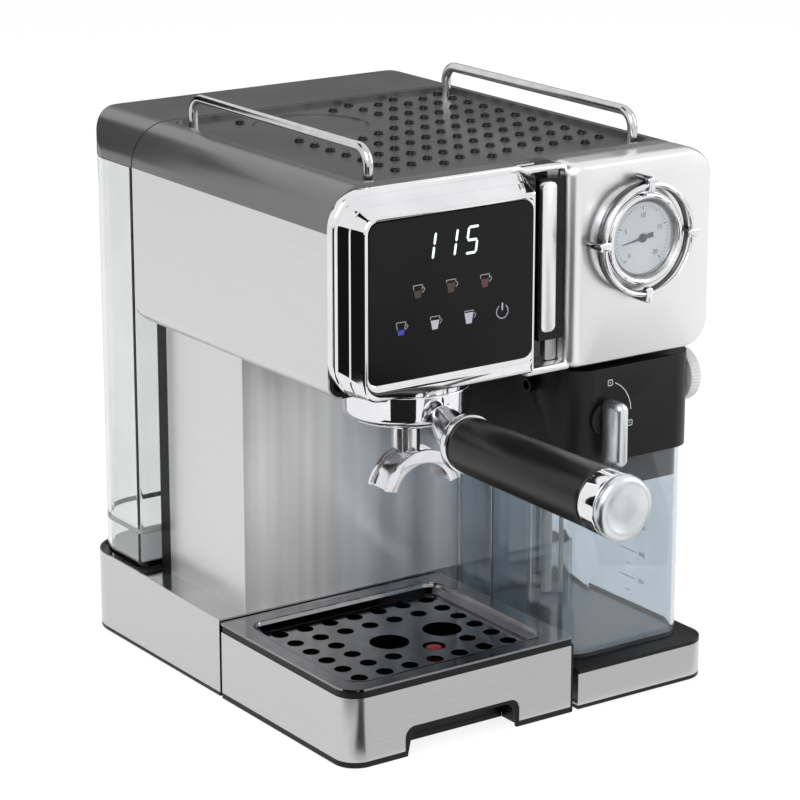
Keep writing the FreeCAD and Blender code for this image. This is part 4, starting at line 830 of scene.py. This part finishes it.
# Milk scale printed on the tank's right wall: long ticks with plain numbers, short ticks between
SCALE_X, SCALE_Z, SCALE_STEP, SCALE_COUNT = 235.8, 43.8, 16.2, 4
LONG_TICK, SHORT_TICK, NUMBER_Y = (56, 70), (60.4, 64.5), 50


def milk_scale():
    bm = bmesh.new()
    for step in range(SCALE_COUNT):
        z = SCALE_Z + SCALE_STEP * step
        between = z - SCALE_STEP / 2
        sign_bar(bm, (LONG_TICK[0], z), (LONG_TICK[1], z), 0.4)
        sign_bar(bm, (SHORT_TICK[0], between), (SHORT_TICK[1], between), 0.35)
    wall = SCALE_X - GLASS_FACE + 2 * SIGN_T
    onto_wall = Matrix(((0, 1, 0, wall), (1, 0, 0, 0), (0, 0, 1, 0), (0, 0, 0, 1)))
    bmesh.ops.transform(bm, matrix=onto_wall, verts=bm.verts)
    finished(bm, "milk_ticks", ink_grey, "milk_unit")
    for step in range(SCALE_COUNT):
        spot = (SCALE_X + SIGN_T, NUMBER_Y, SCALE_Z + SCALE_STEP * step)
        printed_number("milk_number_" + str(step), 100 * (step + 1), spot, TO_REAR, "milk_unit")


milk_scale()

# Froth knob: a pale disc with fine flutes round its edge; each step is a radius, a flute depth and a place
KNOB_Y, KNOB_Z, KNOB_POINTS = 29.0, 172.2, 96
knob_steps = ((12.0, 0, 238.5), (14.8, 0.2, 238.7), (15.3, 0.55, 239.5), (15.3, 0.55, 244.7),
              (14.7, 0.3, 245.5), (13.6, 0, 245.9), (11.5, 0, 245.95))


def fluted_knob():
    bm = bmesh.new()
    loops = []
    for r, depth, x in knob_steps:
        ring = []
        for i in range(KNOB_POINTS):
            a = 2 * math.pi * i / KNOB_POINTS
            reach = r - depth * (i % 2)
            ring.append(bm.verts.new((x, KNOB_Y + reach * math.cos(a), KNOB_Z + reach * math.sin(a))))
        loops.append([bm.edges.new((ring[i - 1], ring[i])) for i in range(KNOB_POINTS)])
    skinned(bm, loops)
    finished(bm, "fluted_knob", knob_grey, "knob", ("froth_knob",), 25)


fluted_knob()

# Water tank: a frosted floor, and the slight step in its wall above it, whose grey is painted shade standing
# in for the thick floor's refraction
FLOOR_SIDES, FLOOR_CORNERS, FLOOR_LEVELS = (7.2, 238.0, 224.8, 276.9), (0.8, 0.8, 25, 25), (50.6, 51.4)
WALL_SIDES, WALL_CORNERS = (4.4, 240.8, 222.0, 279.5), (2.5, 2.5, 28, 28)
wall_steps = ((0.1, 68.2), (-0.15, 68.6), (-0.15, 70.8), (0.1, 71.2))


def tank_floor():
    bm = bmesh.new()
    skinned(bm, [rounded_loop(bm, "xy", FLOOR_SIDES, FLOOR_CORNERS, z, 10) for z in FLOOR_LEVELS])
    finished(bm, "tank_floor", tank_frost, "water_tank")
    left, right, front, rear = WALL_SIDES
    step = bmesh.new()
    loops = []
    for inset, z in wall_steps:
        sides = (left + inset, right - inset, front + inset, rear - inset)
        loops.append(rounded_loop(step, "xy", sides, WALL_CORNERS, z, 10))
    skinned(step, loops, "ring")
    finished(step, "tank_step", tank_band_shade, "water_tank")


tank_floor()

# Red button that stands in the drip grid's float hole
button_profile = ((0, 39.0), (3.6, 39.0), (4.1, 38.7), (4.3, 38.1), (4.3, 35.9), (0, 35.9))
turning("float_button", button_profile, UPRIGHT, (84.7, 42.6, 0), float_red, "float", steps=32,
        smooth_deg=35)

# Black edging of the drip tray: inside its hand notch, whose ends lean inward, along its foot and at the
# front's right-hand end
TRAY_W, TRAY_D, TRAY_CORNER, EDGING_T = 147.5, 127, 13, 2
notch_outer = [(36.3, 1.0), (36.3, 11.2), (37.2, 14.1), (39.2, 16.1), (42.1, 16.95)]
notch_inner = [(38.0, 1.0), (40.0, 10.0), (41.1, 12.6), (42.8, 14.3), (45.4, 15.1)]


# The notch's other half mirrors the first.
def whole_notch(half):
    return half + [(TRAY_W - x, z) for x, z in reversed(half)]


def tray_corner(r, angles):
    return [(TRAY_CORNER + r * math.cos(a), TRAY_CORNER + r * math.sin(a)) for a in angles]


def box_slab(bm, plane, sides, level, thick):
    left, right, low, high = sides
    slab(bm, plane, ((left, low), (right, low), (right, high), (left, high)), level, thick)


def tray_edging():
    bm = bmesh.new()
    slab(bm, "xz", whole_notch(notch_outer) + whole_notch(notch_inner)[::-1], 0.15, 0.4)
    box_slab(bm, "xz", (36.3, 111.2, 1.0, 5.0), 16.0, 1.0)
    box_slab(bm, "xz", (146.3, 147.6, 1.0, 40.2), -0.08, 0.5)
    turn = [math.radians(180 + 9 * i) for i in range(11)]
    foot_out = [(0, 126)] + tray_corner(TRAY_CORNER, turn) + [(37.9, 0)]
    foot_in = [(37.9, EDGING_T)] + tray_corner(TRAY_CORNER - EDGING_T, turn[::-1]) + [(EDGING_T, 126)]
    slab(bm, "xy", foot_out + foot_in, 0.5, 3.2)
    box_slab(bm, "xy", (109.6, TRAY_W, 0, EDGING_T), 0.5, 3.2)
    finished(bm, "tray_edging", black_satin, "drip_tray")


tray_edging()

# Rolled bright edge where the drip grid's rim dips into its basin
edge_steps = ((8.6, 44.62), (9.3, 44.9), (10.2, 44.7), (10.8, 43.6), (11.2, 41.5), (12.0, 40.0),
              (13.4, 39.45), (15.0, 39.42), (15.0, 39.0), (8.6, 44.0))


def basin_edge():
    bm = bmesh.new()
    loops = []
    for inset, z in edge_steps:
        sides = (inset, TRAY_W - inset, inset, TRAY_D - inset)
        loops.append(rounded_loop(bm, "xy", sides, (max(20 - inset, 6),) * 4, z, 8))
    skinned(bm, loops, "ring")
    finished(bm, "basin_edge", grid_steel, "grid", (), 40)


basin_edge()


# Photographer's table, room and lights.
# Straight rays reach the eye with no rough bounce: openly, off a mirror or through a clear wall.
def straight_rays(tree, path):
    open_or_mirror = add(tree, "ShaderNodeMath", operation="MAXIMUM",
                         links={0: path.outputs["Is Camera Ray"], 1: path.outputs["Is Glossy Ray"]})
    straight = add(tree, "ShaderNodeMath", operation="MAXIMUM",
                   links={0: open_or_mirror.outputs["Value"], 1: path.outputs["Is Transmission Ray"]})
    return straight.outputs["Value"]


def paper_floor():
    fibre_mm = 4.0
    material, tree = new_material("paper_floor_white")
    place = add(tree, "ShaderNodeTexCoord")
    path = add(tree, "ShaderNodeLightPath")
    tint = two_tones(tree, clouds(tree, place, fibre_mm), "#f6f6f6", "#fbfbfb")
    matt = add(tree, "ShaderNodeBsdfDiffuse", links={"Color": tint})
    lit = add(tree, "ShaderNodeMapRange", {"To Min": 1.0, "To Max": 1.08},
              {"Value": path.outputs["Is Camera Ray"]})
    white = add(tree, "ShaderNodeEmission", {"Color": colour("#ffffff")}, {"Strength": lit.outputs["Result"]})
    share = add(tree, "ShaderNodeMath", {1: 0.8}, {0: straight_rays(tree, path)}, operation="MULTIPLY")
    mixed = add(tree, "ShaderNodeMixShader",
                links={0: share.outputs["Value"], 1: matt.outputs["BSDF"], 2: white.outputs["Emission"]})
    surface(tree, mixed)
    return material


def stage_piece(name, bm, material):
    mesh = bpy.data.meshes.new(name)
    bm.to_mesh(mesh)
    bm.free()
    mesh.materials.append(material)
    piece = bpy.data.objects.new(name, mesh)
    bpy.context.scene.collection.objects.link(piece)
    return piece


floor_mesh = bmesh.new()
bmesh.ops.create_grid(floor_mesh, x_segments=1, y_segments=1, size=6.0)
stage_piece("floor", floor_mesh, paper_floor())


# Card beside the set that only mirrors see: its shade draws the bands in chrome and steel. Places are metres.
def mirror_card(name, middle, across, upright, width, height, shade, taper=1.0):
    bm = bmesh.new()
    bmesh.ops.create_grid(bm, x_segments=1, y_segments=1, size=0.5)
    bmesh.ops.scale(bm, vec=(taper, 1, 1), verts=[v for v in bm.verts if v.co.y > 0])
    side = Vector(across).normalized()
    up = Vector(upright).normalized()
    turn = Matrix((side * width, up * height, side.cross(up))).transposed().to_4x4()
    bmesh.ops.transform(bm, matrix=Matrix.Translation(middle) @ turn, verts=bm.verts)
    material, tree = new_material(name + "_paper")
    paint = add(tree, "ShaderNodeEmission", {"Color": colour(shade), "Strength": 1.0})
    surface(tree, paint)
    card = stage_piece(name, bm, material)
    card.visible_camera = False
    card.visible_diffuse = False
    card.visible_shadow = False
    card.visible_transmission = False


LENS_ACROSS, LENS_AWAY = (0.777, -0.629, 0), (0.629, 0.777, 0)
mirror_card("card_left", (-0.30, -0.035, 0.225), TO_REAR, UPRIGHT, 0.21, 0.17, "#181818")
mirror_card("card_camera", (-0.395, -0.446, 0.13), LENS_ACROSS, UPRIGHT, 0.44, 0.26, "#202020")
mirror_card("card_wedge", (-0.285, -0.31, 0.002), LENS_ACROSS, LENS_AWAY, 0.44, 0.35, "#202020", 0.35)
mirror_card("card_corner", (-0.121, -0.165, 0.0015), TO_RIGHT, TO_REAR, 0.06, 0.15, "#0c0c0c", 0.5)
mirror_card("card_floor_left", (-0.265, -0.165, 0.001), (0.56, -0.83, 0), (0.83, 0.56, 0), 0.2, 0.18,
            "#202020")
mirror_card("card_floor_front", (0.1, -0.165, 0.001), TO_RIGHT, TO_REAR, 0.5, 0.17, "#e4e4e4")
mirror_card("card_back", (0.75, 1.1, 0.42), (0.83, -0.56, 0), UPRIGHT, 2.6, 0.84, "#6c6c6c")
mirror_card("card_lid", (-0.165, 0.27, 0.36), TO_RIGHT, UPRIGHT, 0.11, 0.14, "#0c0c0c")
mirror_card("card_above", (-0.5, 0.45, 1.3), (0.77, 0.64, 0), (-0.5, 0.6, -0.6), 0.7, 0.5, "#101010")

# Floor strips that run away from the set along the mirrored line of sight: each makes one upright band.
# A strip has the place it runs from, its near and far end, its width and its shade.
away = Vector((0.563, -0.826, 0))
level_across = Vector((0.826, 0.563, 0))
strips = (("card_strip_left", -97, 60, 330, 760, 22, "#5c5c5c"),
          ("card_strip_right", 20, 60, 330, 760, 64, "#5a5a5a"),
          ("card_glass_low", -70, -70, 620, 930, 92, "#161616"),
          ("card_glass_high", -90, -70, 930, 1090, 52, "#161616"))
for strip_name, strip_x, strip_y, near_end, far_end, strip_wide, strip_shade in strips:
    strip_middle = Vector((strip_x, strip_y, 2)) + away * (near_end + far_end) / 2
    card_wide = strip_wide * level_across.x * MM
    card_long = (far_end - near_end) * MM
    mirror_card(strip_name, strip_middle * MM, level_across, away, card_wide, card_long, strip_shade)


def room():
    world = bpy.data.worlds.new("white_room")
    world.use_nodes = True
    tree = world.node_tree
    tree.nodes.clear()
    path = add(tree, "ShaderNodeLightPath")
    fill = add(tree, "ShaderNodeBackground", {"Color": colour("#ffffff"), "Strength": 0.55})
    white = add(tree, "ShaderNodeBackground", {"Color": colour("#ffffff"), "Strength": 1.0})
    mixed = add(tree, "ShaderNodeMixShader",
                links={0: straight_rays(tree, path), 1: fill.outputs["Background"],
                       2: white.outputs["Background"]})
    add(tree, "ShaderNodeOutputWorld", links={"Surface": mixed.outputs["Shader"]})
    bpy.context.scene.world = world


room()


def soft_box(name, place, target, width, height, watts):
    data = bpy.data.lights.new(name, "AREA")
    data.shape = "RECTANGLE"
    data.size = width
    data.size_y = height
    data.energy = watts
    lamp = bpy.data.objects.new(name, data)
    lamp.location = place
    aim = Vector(target) - Vector(place)
    lamp.rotation_euler = aim.to_track_quat("-Z", "Y").to_euler()
    bpy.context.scene.collection.objects.link(lamp)
    return lamp


soft_box("soft_box_left", (-1.3, -1.2, 1.5), (0, 0, 0.15), 1.2, 1.2, 22)
soft_box("soft_box_top", (0.1, 0.1, 1.9), (0, 0, 0.2), 1.6, 1.6, 18).visible_glossy = False
soft_box("soft_box_right", (1.5, -0.9, 1.0), (0, 0, 0.15), 0.9, 1.3, 10)


# Camera where the photograph was taken from
def photo_camera():
    data = bpy.data.cameras.new("photo_camera")
    data.sensor_width = 36.0
    data.lens = 138.68
    data.shift_x = 0.0271
    data.shift_y = -0.0265
    data.clip_start = 0.05
    data.clip_end = 30.0
    camera = bpy.data.objects.new("photo_camera", data)
    right = Vector((0.826074, -0.563559, -0.001721))
    up = Vector((0.156564, 0.226558, 0.961332))
    back = right.cross(up)
    turn = Matrix((right, up, back)).transposed().to_4x4()
    camera.matrix_world = Matrix.Translation((-0.950009, -1.314912, 0.641896)) @ turn
    bpy.context.scene.collection.objects.link(camera)
    bpy.context.scene.camera = camera


photo_camera()
bpy.context.scene.view_settings.view_transform = "Standard"

bpy.context.view_layer.update()
